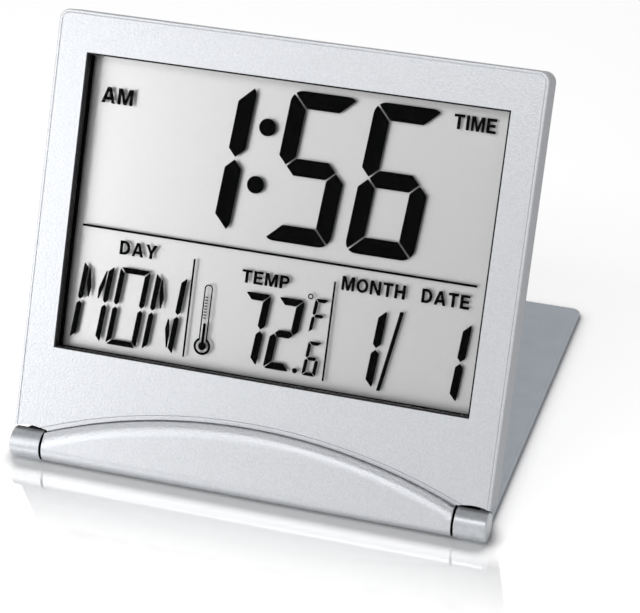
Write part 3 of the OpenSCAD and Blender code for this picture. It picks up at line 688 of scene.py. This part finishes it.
def battery_door():
    door = post("battery_door", 0, 0, BACK, COVER_IN, DOOR_R, sides=128)
    round_edges(door, DOOR_ROUND, 3, lambda a, b: at(BACK, a.z, b.z))
    ring = post("ring", 0, 0, COVER_IN - SINK, DOOR_LUG_TOP, DOOR_R, sides=128)
    for step in range(DOOR_LUGS):
        lug = block("lug", (0, -DOOR_LUG_W / 2, DOOR_LUG_TOP - DOOR_LUG_T),
                    (DOOR_LUG_R, DOOR_LUG_W / 2, DOOR_LUG_TOP))
        join(ring, turned(lug, 360 / DOOR_LUGS * step))
    cut(ring, post("cell_room", 0, 0, COVER_IN - PAST, DOOR_LUG_TOP + PAST, DOOR_RING_R, sides=128))
    join(door, ring)
    slot = block("slot", (-SLOT_LEN / 2, -SLOT_W / 2, BACK - PAST),
                 (SLOT_LEN / 2, SLOT_W / 2, BACK + SLOT_DEPTH))
    round_edges(slot, SLOT_END_R, 6, lambda a, b: not at(a.z, b.z))
    cut(door, slot)
    break_edges(door, COVER_EDGE)
    shifted(door, *CELL)
    lean_back(door)
    hand_over(door, "door", "silver_paint", silver_sprayed_abs, "battery_door")


def push_button(name):
    x = BUTTON_X[name]
    end = BACK + BUTTON_SET
    button = post(name + "_button", x, BUTTON_Y, end, BUTTON_FLANGE[0] + SINK / 2, BUTTON_R)
    round_edges(button, BUTTON_ROUND, 5, lambda a, b: at(end, a.z, b.z))
    bpy.ops.object.select_all(action="DESELECT")
    dish_place = (x * MM, BUTTON_Y * MM, (end + DISH_DEPTH - DISH_R) * MM)
    bpy.ops.mesh.primitive_uv_sphere_add(segments=96, ring_count=64, radius=DISH_R * MM, location=dish_place)
    cut(button, bpy.context.object)
    join(button,
         post("flange", x, BUTTON_Y, *BUTTON_FLANGE, FLANGE_R),
         post("pad", x, BUTTON_Y, BUTTON_FLANGE[1] - SINK / 2, PAD_TOP, PAD_R, sides=32))
    break_edges(button, FINE_EDGE)
    lean_back(button)
    hand_over(button, name, "grey_plastic", grey_moulded_abs, name + "_button")


# Stand

def hinge_cap(name, side):
    """Round end cap with the ear that holds the hinge pin, on the left (-1) or the right (1)."""
    inner_end = side * CAP_IN
    outer_end = side * CASE_HALF
    cap = bar(name, *sorted((inner_end, outer_end)), 0, NOSE_RISE, NOSE_R - HAIR, sides=160)
    round_edges(cap, CAP_OUTER_ROUND, 5, lambda a, b: at(outer_end, a.x, b.x))
    round_edges(cap, CAP_INNER_ROUND, 3, lambda a, b: at(inner_end, a.x, b.x))
    left, right = sorted((inner_end, side * (CAP_IN + EAR_LEN)))
    # The web is a little thinner than the cap, so that the two rounds share no face
    web = bar("web", left, right, 0, NOSE_RISE, NOSE_R - 3 * HAIR, sides=160)
    ear = bar("ear", left, right, HINGE_BACK, HINGE_HEIGHT, EAR_R, sides=64)
    bpy.ops.object.select_all(action="DESELECT")
    ear.select_set(True)
    web.select_set(True)
    bpy.context.view_layer.objects.active = web
    bpy.ops.object.join()
    bpy.ops.object.mode_set(mode="EDIT")
    bpy.ops.mesh.select_all(action="SELECT")
    bpy.ops.mesh.convex_hull()
    bpy.ops.object.mode_set(mode="OBJECT")
    foot = block("foot", (left, FOOT_START, 0), (right, HINGE_BACK + EAR_R * FOOT_SHARE, HINGE_HEIGHT))
    join(web, foot)
    clean(web)
    round_edges(web, CAP_INNER_ROUND, 3, lambda a, b: at(inner_end, a.x, b.x))
    join(cap, web)
    tab_left, tab_right = sorted((side * TAB_IN, side * PLATE_HALF))
    plate_left, plate_right = sorted((side * (CAP_IN - PAST), side * PLATE_HALF))
    cut(cap,
        block("tab_room", (tab_left, -TAB_REACH, -PAST), (tab_right, PLATE_FRONT + PAST, PLATE_T)),
        block("plate_room", (plate_left, PLATE_FRONT, -PAST), (plate_right, PLATE_FAR, PLATE_T)))
    pin_left, pin_right = sorted((side * (CAP_IN - PAST), side * (CAP_IN + PIN_OUT)))
    cut(cap, bar("pin_bore", pin_left, pin_right, HINGE_BACK, HINGE_HEIGHT, PIN_R, sides=48))
    clean(cap)
    smooth(cap)
    # Painted shade: the web behind the cap's top and the cap's inner end face are black, so the gaps read
    # dark
    paint_shade_black(cap, lambda middle, normal: middle.y > EAR_START or (side * middle.x < CAP_IN + HAIR
                                                                    and abs(normal.x) > FACING))
    set_on_table(cap)
    hand_over(cap, "stand", "smooth_silver", silver_lacquered_abs, name)


def stand_plate():
    plate = block("stand_plate", (-PLATE_HALF, -TAB_REACH, 0), (PLATE_HALF, PLATE_FAR, PLATE_T))
    round_edges(plate, PLATE_CORNER, 12, lambda a, b: at(PLATE_FAR, a.y, b.y) and not at(a.z, b.z))
    round_edges(plate, PLATE_ROUND, 5, upper_outline(-TAB_REACH, PLATE_T))
    cut(plate, block("between_tabs", (-TAB_IN, -TAB_REACH - PAST, -PAST),
                     (TAB_IN, PLATE_FRONT, PLATE_T + PAST)))
    for side in (-1, 1):
        cut(plate, post("head_seat", side * CAP_SCREW[0], CAP_SCREW[1], -PAST, SCREW_SEAT, SCREW_HEAD_R))
    break_edges(plate, STOUT_EDGE)
    set_on_table(plate)
    hand_over(plate, "stand", "smooth_silver", plate_lacquered_abs, "stand_plate")


# Display

def display_cell():
    """The two sealed glasses with the polariser on them, the front one longer for its contacts."""
    cell = block("display_cell", (-GLASS_HALF, GLASS_LOW, REFLECTOR + HAIR),
                 (GLASS_HALF, GLASS_TOP, FILM - HAIR))
    cut(cell,
        block("contact_step", (-GLASS_HALF - PAST, GLASS_LOW - PAST, REFLECTOR - PAST),
              (GLASS_HALF + PAST, REAR_GLASS_LOW, REAR_GLASS)),
        block("film_step", (-GLASS_HALF - PAST, GLASS_LOW - PAST, FRONT_GLASS),
              (GLASS_HALF + PAST, REAR_GLASS_LOW, FILM + PAST)))
    break_edges(cell, FINE_EDGE)
    lean_back(cell)
    hand_over(cell, "clock", "display_glass", display_glass, "front_polariser", "front_glass", "rear_glass")


def reflector_film():
    film = block("reflector_film", (-GLASS_HALF, REAR_GLASS_LOW, REFLECTOR_BACK + HAIR),
                 (GLASS_HALF, GLASS_TOP, REFLECTOR - HAIR))
    break_edges(film, FILM_EDGE)
    lean_back(film)
    hand_over(film, "clock", "reflector", pebbled_aluminium, "reflector_film")


def flat_shapes(name, outlines, height, thickness):
    """Thin sheet cut to closed outlines; an outline inside another one is a hole in it."""
    curve = bpy.data.curves.new(name, "CURVE")
    curve.dimensions = "2D"
    curve.fill_mode = "BOTH"
    curve.extrude = thickness / 2 * MM
    for outline in outlines:
        spline = curve.splines.new("POLY")
        spline.points.add(len(outline) - 1)
        for point, (x, y) in zip(spline.points, outline):
            point.co = (x * MM, y * MM, 0, 1)
        spline.use_cyclic_u = True
    sheet = bpy.data.objects.new(name, curve)
    bpy.context.collection.objects.link(sheet)
    only(sheet)
    bpy.ops.object.convert(target="MESH")
    sheet = bpy.context.object
    sheet.location.z = height * MM
    bpy.ops.object.transform_apply(location=True, rotation=True, scale=True)
    clean(sheet)
    return sheet


def arc(x, y, radius, start, end, steps, tall=1.0):
    """Points along an arc, with its angles in radians; tall stretches it upwards."""
    turns = [start + (end - start) * i / steps for i in range(steps + 1)]
    return [(x + radius * math.cos(t), y + radius * tall * math.sin(t)) for t in turns]


def disc(x, y, radius, sides=48, tall=1.0):
    return arc(x, y, radius, 0, math.tau * (sides - 1) / sides, sides - 1, tall)


def rectangle(left, low, right, top):
    return [(left, low), (right, low), (right, top), (left, top)]


def bars(width, height, thick, gap, corner):
    """Outlines of the seven bars of an upright digit that stands on the origin."""
    middle = height / 2
    half = thick / 2
    step = gap * math.sqrt(0.5)
    meet = math.pi / 4 + math.acos(step / (math.sqrt(2) * corner))
    left_arc = arc(corner, height - corner, corner, meet, math.pi / 2, 5)
    right_arc = [(width - x, y) for x, y in reversed(left_arc)]
    top = left_arc + right_arc
    top += [(width - thick - step, height - thick), (thick + step, height - thick)]
    side = arc(corner, height - corner, corner, 1.5 * math.pi - meet, math.pi, 5)
    side += [(0, middle + half + step), (half, middle + step), (thick, middle + half + step)]
    side += [(thick, height - thick - step)]
    cross = [(half + step, middle), (thick + step, middle + half), (width - thick - step, middle + half)]
    cross += [(width - x, height - y) for x, y in cross]
    outlines = {"a": top, "f": side, "g": cross}
    outlines["b"] = [(width - x, y) for x, y in side]
    outlines["c"] = [(width - x, height - y) for x, y in side]
    outlines["d"] = [(x, height - y) for x, y in top]
    outlines["e"] = [(x, height - y) for x, y in side]
    return outlines


# Bars that are switched on in each sign
SIGNS = {"1": "bc", "2": "abged", "5": "afgcd", "6": "afgecd", "7": "abc", "F": "afge",
         "M": "bcefhj", "O": "abcdef", "N": "bcefhk"}

# Width, height, bar, gap, corner radius and slant of the display's sets of digits
TIME_SET = (15.3, 33.05, 3.75, 0.36, 2.6, 0.088)
TEMPERATURE_SET = (6.05, 16.1, 1.62, 0.2, 0.9, 0.105)
TENTHS_SET = (3.1, 7.65, 0.78, 0.12, 0.45, 0.1)
DATE_SET = (7.2, 17.5, 1.72, 0.25, 1.0, 0.08)
DAY_SET = (7.2, 17.6, 1.22, 0.25, 0.7, 0.096)

# Upper left diagonal bar of a day letter, from the letter's lower left corner
DIAGONAL = [(1.4, 16.1), (1.69, 16.25), (2.75, 12.0), (2.55, 9.76), (2.21, 9.87), (1.48, 13.04)]


def sign(letter, digit_set, x, y):
    """Outlines of one sign whose lower left corner is at x, y."""
    width, height, thick, gap, corner, slant = digit_set
    strokes = bars(width, height, thick, gap, corner)
    strokes["h"] = DIAGONAL
    strokes["j"] = [(width - u, v) for u, v in DIAGONAL]
    strokes["k"] = [(width - u, height - v) for u, v in DIAGONAL]
    return [[(x + u + slant * v, y + v) for u, v in strokes[key]] for key in SIGNS[letter]]


# Places of the signs: the lower left corner of each, the middle of each dot, and the corners of the slash
TIME_PLACES = {"1": (-26.95, 53.4), "5": (-3.82, 53.4), "6": (14.88, 53.4)}
COLON_PLACES = [(-5.56, 77.57), (-6.71, 64.86)]
COLON_R = 1.92
DAY_PLACE = (-45.57, 24.8)
DAY_STEP = 8.6
TEMPERATURE_PLACES = {"7": (-7.64, 25.42), "2": (0.0, 25.42)}
POINT_PLACE = (7.3, 25.95)
POINT_R = 0.58
TENTHS_PLACES = {"6": (8.9, 25.3), "F": (9.28, 34.75)}
DEGREE_PLACE = (8.85, 42.64)
DEGREE_RADII = (0.63, 0.36)
DATE_PLACES = [(17.7, 24.87), (36.5, 24.87)]
SLASH = [(25.99, 24.68), (26.83, 24.68), (29.9, 42.44), (29.06, 42.44)]


def row(places, digit_set):
    """Outlines of the signs that stand at the given places."""
    outlines = []
    for letter, place in places.items():
        outlines += sign(letter, digit_set, *place)
    return outlines


def time_signs():
    return row(TIME_PLACES, TIME_SET) + [disc(*place, COLON_R) for place in COLON_PLACES]


def day_signs():
    left, low = DAY_PLACE
    places = {letter: (left + DAY_STEP * count, low) for count, letter in enumerate("MON")}
    return row(places, DAY_SET)


def temperature_signs():
    dots = [disc(*POINT_PLACE, POINT_R)] + [disc(*DEGREE_PLACE, radius) for radius in DEGREE_RADII]
    return row(TEMPERATURE_PLACES, TEMPERATURE_SET) + row(TENTHS_PLACES, TENTHS_SET) + dots


def date_signs():
    outlines = [SLASH]
    for place in DATE_PLACES:
        outlines += sign("1", DATE_SET, *place)
    return outlines


def stem(x, half, radius, centre, top):
    """Outline of a thermometer: a tube with a round top over a round bulb."""
    spread = math.asin(half / radius)
    outline = arc(x, top - half, half, 0, math.pi, 12)
    outline += arc(x, centre, radius, math.pi / 2 + spread, 2.5 * math.pi - spread, 40)
    return outline


# Thermometer: the middle of its bulb, then the half width, bulb radius and top of each of its three outlines
BULB = (-14.38, 27.85)
STEMS = [(0.96, 1.96, 41.65), (0.67, 1.42, 41.36), (0.33, 0.9, 33.0)]

# Marks on the thermometer: the count, first level, step and height, and the ends from its middle
MARKS = 8
MARK_LOW = 34.0
MARK_STEP = 0.66
MARK_T = 0.27
MARK_ENDS = (-0.55, 0.08)


def thermometer_signs():
    x, bulb_y = BULB
    outlines = [stem(x, half, radius, bulb_y, top) for half, radius, top in STEMS]
    for count in range(MARKS):
        level = MARK_LOW + MARK_STEP * count
        outlines.append(rectangle(x + MARK_ENDS[0], level, x + MARK_ENDS[1], level + MARK_T))
    return outlines


# Rules between the fields of the display, as left, low, right and top
RULES = [(-45.4, 50.16, 44.95, 50.66), (-18.66, 24.84, -18.22, 46.72), (13.66, 24.73, 14.1, 46.68)]

# Words of the display, and the box that each fills
WORDS = {
    "AM": (-44.39, 77.92, -36.99, 81.47), "TIME": (35.2, 82.95, 44.45, 86.12),
    "DAY": (-36.06, 45.15, -27.31, 48.25), "TEMP": (-7.2, 43.35, 3.69, 46.22),
    "MONTH": (15.4, 45.15, 29.62, 48.22), "DATE": (33.25, 45.18, 43.86, 48.25),
}

QUARTER = math.pi / 2

# Bold letters of the display, one unit tall: the width of each, then its outlines
LETTERS = {
    "A": (0.94, [[(0, 0), (0.25, 0), (0.31, 0.2), (0.63, 0.2), (0.69, 0), (0.94, 0), (0.6, 1), (0.34, 1)],
                 [(0.365, 0.39), (0.575, 0.39), (0.47, 0.74)]]),
    "D": (0.84, [[(0, 0)] + arc(0.36, 0.5, 0.48, -QUARTER, QUARTER, 16, tall=0.5 / 0.48) + [(0, 1)],
                 [(0.24, 0.19)] + arc(0.36, 0.5, 0.24, -QUARTER, QUARTER, 12, tall=0.31 / 0.24)
                 + [(0.24, 0.81)]]),
    "E": (0.74, [[(0, 0), (0.74, 0), (0.74, 0.19), (0.24, 0.19), (0.24, 0.41), (0.67, 0.41), (0.67, 0.6),
                  (0.24, 0.6), (0.24, 0.81), (0.73, 0.81), (0.73, 1), (0, 1)]]),
    "H": (0.84, [[(0, 0), (0.24, 0), (0.24, 0.41), (0.6, 0.41), (0.6, 0), (0.84, 0), (0.84, 1), (0.6, 1),
                  (0.6, 0.6), (0.24, 0.6), (0.24, 1), (0, 1)]]),
    "I": (0.24, [[(0, 0), (0.24, 0), (0.24, 1), (0, 1)]]),
    "M": (1.02, [[(0, 0), (0.22, 0), (0.22, 0.64), (0.41, 0), (0.61, 0), (0.8, 0.64), (0.8, 0), (1.02, 0),
                  (1.02, 1), (0.73, 1), (0.51, 0.34), (0.29, 1), (0, 1)]]),
    "N": (0.86, [[(0, 0), (0.22, 0), (0.22, 0.64), (0.62, 0), (0.86, 0), (0.86, 1), (0.64, 1), (0.64, 0.36),
                  (0.24, 1), (0, 1)]]),
    "O": (0.94, [disc(0.47, 0.5, 0.47, sides=32, tall=0.5 / 0.47),
                 disc(0.47, 0.5, 0.24, sides=32, tall=0.31 / 0.24)]),
    "P": (0.76, [[(0, 0), (0.24, 0), (0.24, 0.36)] + arc(0.44, 0.68, 0.32, -QUARTER, QUARTER, 14) + [(0, 1)],
                 [(0.24, 0.55)] + arc(0.42, 0.68, 0.13, -QUARTER, QUARTER, 10) + [(0.24, 0.81)]]),
    "T": (0.8, [[(0.28, 0), (0.52, 0), (0.52, 0.81), (0.8, 0.81), (0.8, 1), (0, 1), (0, 0.81),
                 (0.28, 0.81)]]),
    "Y": (0.92, [[(0.34, 0), (0.58, 0), (0.58, 0.4), (0.92, 1), (0.66, 1), (0.46, 0.62), (0.26, 1), (0, 1),
                  (0.34, 0.4)]]),
}
LETTER_SPACE = 0.15


def letters(text, left, low, right, top):
    """Outlines of a bold word that fills the given box."""
    outlines = []
    pen = 0.0
    for letter in text:
        wide, shapes = LETTERS[letter]
        outlines += [[(pen + x, y) for x, y in shape] for shape in shapes]
        pen += wide + LETTER_SPACE
    across = (right - left) / (pen - LETTER_SPACE)
    return [[(left + x * across, low + y * (top - low)) for x, y in outline] for outline in outlines]


def word(name, text, left, low, right, top, height, thickness, weight):
    """Thin letters that fill the given box; weight thickens their strokes."""
    bpy.ops.object.select_all(action="DESELECT")
    bpy.ops.object.text_add()
    piece = bpy.context.object
    piece.name = name
    piece.data.body = text
    piece.data.size = 1
    piece.data.offset = weight
    piece.data.extrude = 0.5
    bpy.ops.object.convert(target="MESH")
    piece = bpy.context.object
    xs = [vertex.co.x for vertex in piece.data.vertices]
    ys = [vertex.co.y for vertex in piece.data.vertices]
    wide = (right - left) * MM / (max(xs) - min(xs))
    tall = (top - low) * MM / (max(ys) - min(ys))
    piece.scale = (wide, tall, thickness * MM)
    piece.location = (left * MM - min(xs) * wide, low * MM - min(ys) * tall, height * MM)
    bpy.ops.object.transform_apply(location=True, rotation=True, scale=True)
    clean(piece)
    return piece


def painted_shade_seal():
    """Black ring that seals the two glasses; its left side, beside the window's edge, is painted shade of
    the window's wall.
    """
    ring = [rectangle(*SHADE_SEAL_OUTER), rectangle(*SHADE_SEAL_INNER)]
    seal = flat_shapes("painted_shade_seal", ring, CRYSTAL, CRYSTAL_T)
    lean_back(seal)
    hand_over(seal, "clock", "black_plastic", switched_crystal)


def display_art():
    """What the display shows: its digits, letters, rules and words, as thin dark crystal."""
    shapes = {
        "time_digits": time_signs(), "day_letters": day_signs(), "temperature_digits": temperature_signs(),
        "date_digits": date_signs(), "thermometer_sign": thermometer_signs(),
        "display_rules": [rectangle(*rule) for rule in RULES],
    }
    for text, box in WORDS.items():
        shapes[text.lower() + "_word"] = letters(text, *box)
    for name, outlines in shapes.items():
        sheet = flat_shapes(name, outlines, CRYSTAL, CRYSTAL_T)
        lean_back(sheet)
        hand_over(sheet, "clock", "display_glass", switched_crystal)


# Words on the back: the drop below the recess, their height, half width for each letter, and coat of ink
LABEL_DROP = 3.2
LABEL_H = 2.2
LABEL_HALF = 0.95
LABEL_INK = 0.03
LABEL_WEIGHT = 0.01


def back_words():
    """Words printed on the back below the buttons."""
    low = BUTTON_Y - RECESS_R - LABEL_DROP
    for name, x in BUTTON_X.items():
        half = LABEL_HALF * len(name)
        label = word(name + "_label", name.upper(), x - half, low, x + half, low + LABEL_H,
                     BACK - LABEL_INK / 2, LABEL_INK, LABEL_WEIGHT)
        turn_to_back(label, x)
        lean_back(label)
        hand_over(label, "clock", "grey_plastic", printed_ink)


def turn_to_back(label, x):
    """Mirrors a word about its middle, so that it reads right from behind."""
    only(label)
    bpy.ops.object.mode_set(mode="EDIT")
    bpy.ops.mesh.select_all(action="SELECT")
    bpy.ops.transform.resize(value=(-1, 1, 1), center_override=(x * MM, 0, 0))
    bpy.ops.mesh.normals_make_consistent(inside=False)
    bpy.ops.object.mode_set(mode="OBJECT")


# Finishes of the CAD nodes that stay

CAD_FINISHES = {
    plated_steel: ["hinge_pins", "stand_screws", "case_screws", "board_screws", "quartz_crystal",
                   "switch_domes"],
    black_abs_and_painted_shade: ["display_holder"],
    layered_silicone: ["contact_strip"],
    masked_board: ["circuit_board"],
    poured_epoxy: ["chip_dome", "temperature_sensor", "resistors"],
    tan_ceramic: ["capacitors"],
    fired_ceramic: ["buzzer_ceramic"],
    rolled_brass: ["buzzer_disc", "buzzer_contacts", "positive_contact", "negative_contact"],
    stainless_can: ["coin_cell"],
}


def finish_cad_nodes():
    for material, names in CAD_FINISHES.items():
        for name in names:
            mesh = frame["nodes"][name].data
            mesh.materials.clear()
            mesh.materials.append(material)


# Studio

# Camera fitted to the photograph's edges: the point that it looks at, its place round it and its lens
CAMERA_AIM = (0, NOSE_Y + 54.25, 17.87)
CAMERA_AZIMUTH = 17.56
CAMERA_ELEVATION = 31.06
CAMERA_DISTANCE = 554.21
CAMERA_LENS = 132.57
CAMERA_SENSOR = 36

# Point that the lamps face, in metres
LAMP_AIM = (0, 0, 0.04)

# Table top, in metres: its size, the reach of the painted shadow that dims its glow where pieces touch it,
# and the places on y where the polish in front of the clock starts, is full and ends
TABLE_SIZE = 8
PAINTED_SHADOW_REACH = 0.0045
POLISH_START = -0.08
POLISH_FULL = -0.056
POLISH_END = -0.0505

# Share of the light that the full polish mirrors, and the glow that keeps the table top white to the eye
POLISH_SHARE = 0.82
TABLE_GLOW = 0.74

# Room light from the left and from the right, and the ceiling's share of it as light and as seen
ROOM_LEFT = 0.44
ROOM_RIGHT = 0.14
CEILING_SHARE = 0.3
CEILING_SEEN = 0.25


def direction(azimuth, elevation):
    """Unit vector towards a place round the clock; azimuth 0 is in front and 90 on the right."""
    turn = math.radians(azimuth)
    rise = math.radians(elevation)
    return Vector((math.sin(turn) * math.cos(rise), -math.cos(turn) * math.cos(rise), math.sin(rise)))


def camera():
    back = direction(CAMERA_AZIMUTH, CAMERA_ELEVATION)
    data = bpy.data.cameras.new("camera")
    data.sensor_width = CAMERA_SENSOR
    data.lens = CAMERA_LENS
    eye = bpy.data.objects.new("camera", data)
    bpy.context.collection.objects.link(eye)
    eye.location = (Vector(CAMERA_AIM) + back * CAMERA_DISTANCE) * MM
    eye.rotation_euler = (-back).to_track_quat("-Z", "Y").to_euler()
    bpy.context.scene.camera = eye


def soft_box(name, azimuth, elevation, distance, width, height, power):
    """Rectangular lamp that faces the clock."""
    data = bpy.data.lights.new(name, "AREA")
    data.shape = "RECTANGLE"
    data.size = width
    data.size_y = height
    data.energy = power
    lamp = bpy.data.objects.new(name, data)
    bpy.context.collection.objects.link(lamp)
    towards = direction(azimuth, elevation)
    lamp.location = Vector(LAMP_AIM) + towards * distance
    lamp.rotation_euler = towards.to_track_quat("Z", "Y").to_euler()


def seen_directly(tree):
    """One for rays that show a surface as it looks, from the camera, in a gloss or through glass."""
    path = add_node(tree, "ShaderNodeLightPath", {}).outputs
    either = worked_out(tree, path["Is Camera Ray"], path["Is Glossy Ray"], "MAXIMUM")
    return worked_out(tree, either, path["Is Transmission Ray"], "MAXIMUM")


def floor():
    """White table top, polished in front of the clock, with a soft shadow round the clock's foot: cast, and
    deepened by a painted shadow that dims its glow.
    """
    bpy.ops.object.select_all(action="DESELECT")
    bpy.ops.mesh.primitive_plane_add(size=TABLE_SIZE)
    top = bpy.context.object
    top.name = "floor"
    material = bpy.data.materials.new("white_table_top")
    material.use_nodes = True
    tree = material.node_tree
    shader = tree.nodes["Principled BSDF"]
    shader.inputs["Base Color"].default_value = linear("#F4F4F4")
    shader.inputs["Roughness"].default_value = 0.6
    shader.inputs["Specular IOR Level"].default_value = 0.0
    shader.inputs["Emission Color"].default_value = linear("#FFFFFF")
    # Painted shadow: the glow fades by ambient occlusion where pieces are near
    painted_shadow_ao = add_node(tree, "ShaderNodeAmbientOcclusion", {"Distance": PAINTED_SHADOW_REACH}).outputs["AO"]
    glow = worked_out(tree, seen_directly(tree), graded(tree, painted_shadow_ao, 0.6, 0.97, 0.0, TABLE_GLOW))
    tree.links.new(glow, shader.inputs["Emission Strength"])
    place = add_node(tree, "ShaderNodeTexCoord", {}).outputs["Object"]
    depth = add_node(tree, "ShaderNodeSeparateXYZ", {"Vector": place}).outputs["Y"]
    front = graded(tree, depth, POLISH_START, POLISH_FULL, 0.0, POLISH_SHARE)
    behind = graded(tree, depth, POLISH_FULL, POLISH_END, 1.0, 0.0)
    # Like water, the polish mirrors at a slant and hardly from above
    gloss = add_node(tree, "ShaderNodeFresnel", {"IOR": 1.33}).outputs["Fac"]
    slant = graded(tree, gloss, 0.022, 0.05)
    polish = worked_out(tree, worked_out(tree, front, behind), slant)
    mirror = add_node(tree, "ShaderNodeBsdfGlossy", {"Color": linear("#FFFFFF"), "Roughness": 0.05})
    both = add_node(tree, "ShaderNodeMixShader", {0: polish, 1: shader.outputs[0], 2: mirror.outputs[0]})
    tree.links.new(both.outputs[0], tree.nodes["Material Output"].inputs["Surface"])
    top.data.materials.append(material)


def world():
    """Room light, stronger from the left, with a dim ceiling; where it is seen, its walls look white."""
    room = bpy.data.worlds.new("studio")
    room.use_nodes = True
    bpy.context.scene.world = room
    tree = room.node_tree
    background = tree.nodes["Background"]
    way = add_node(tree, "ShaderNodeTexCoord", {}).outputs["Generated"]
    parts = add_node(tree, "ShaderNodeSeparateXYZ", {"Vector": way}).outputs
    across = graded(tree, parts["X"], -1.0, 1.0, ROOM_LEFT, ROOM_RIGHT)
    above = graded(tree, parts["Z"], 0.3, 0.95, 1.0, CEILING_SHARE)
    light = worked_out(tree, across, above)
    seen = graded(tree, parts["Z"], 0.68, 0.92, 1.0, CEILING_SEEN)
    strength = graded(tree, seen_directly(tree), 0.0, 1.0, light, seen)
    tree.links.new(strength, background.inputs["Strength"])
    background.inputs["Color"].default_value = linear("#FFFFFF")


camera()
case_rim()
front_bezel()
chin_bar()
rear_cover()
battery_door()
for button in BUTTON_X:
    push_button(button)
hinge_cap("left_hinge_cap", -1)
hinge_cap("right_hinge_cap", 1)
stand_plate()
display_cell()
reflector_film()
painted_shade_seal()
display_art()
back_words()
finish_cad_nodes()
floor()
world()
soft_box("key", azimuth=-42, elevation=13, distance=0.42, width=0.24, height=0.24, power=0.47)
soft_box("front", azimuth=-4, elevation=48, distance=0.5, width=0.36, height=0.13, power=0.52)

bpy.context.scene.view_settings.view_transform = "Standard"
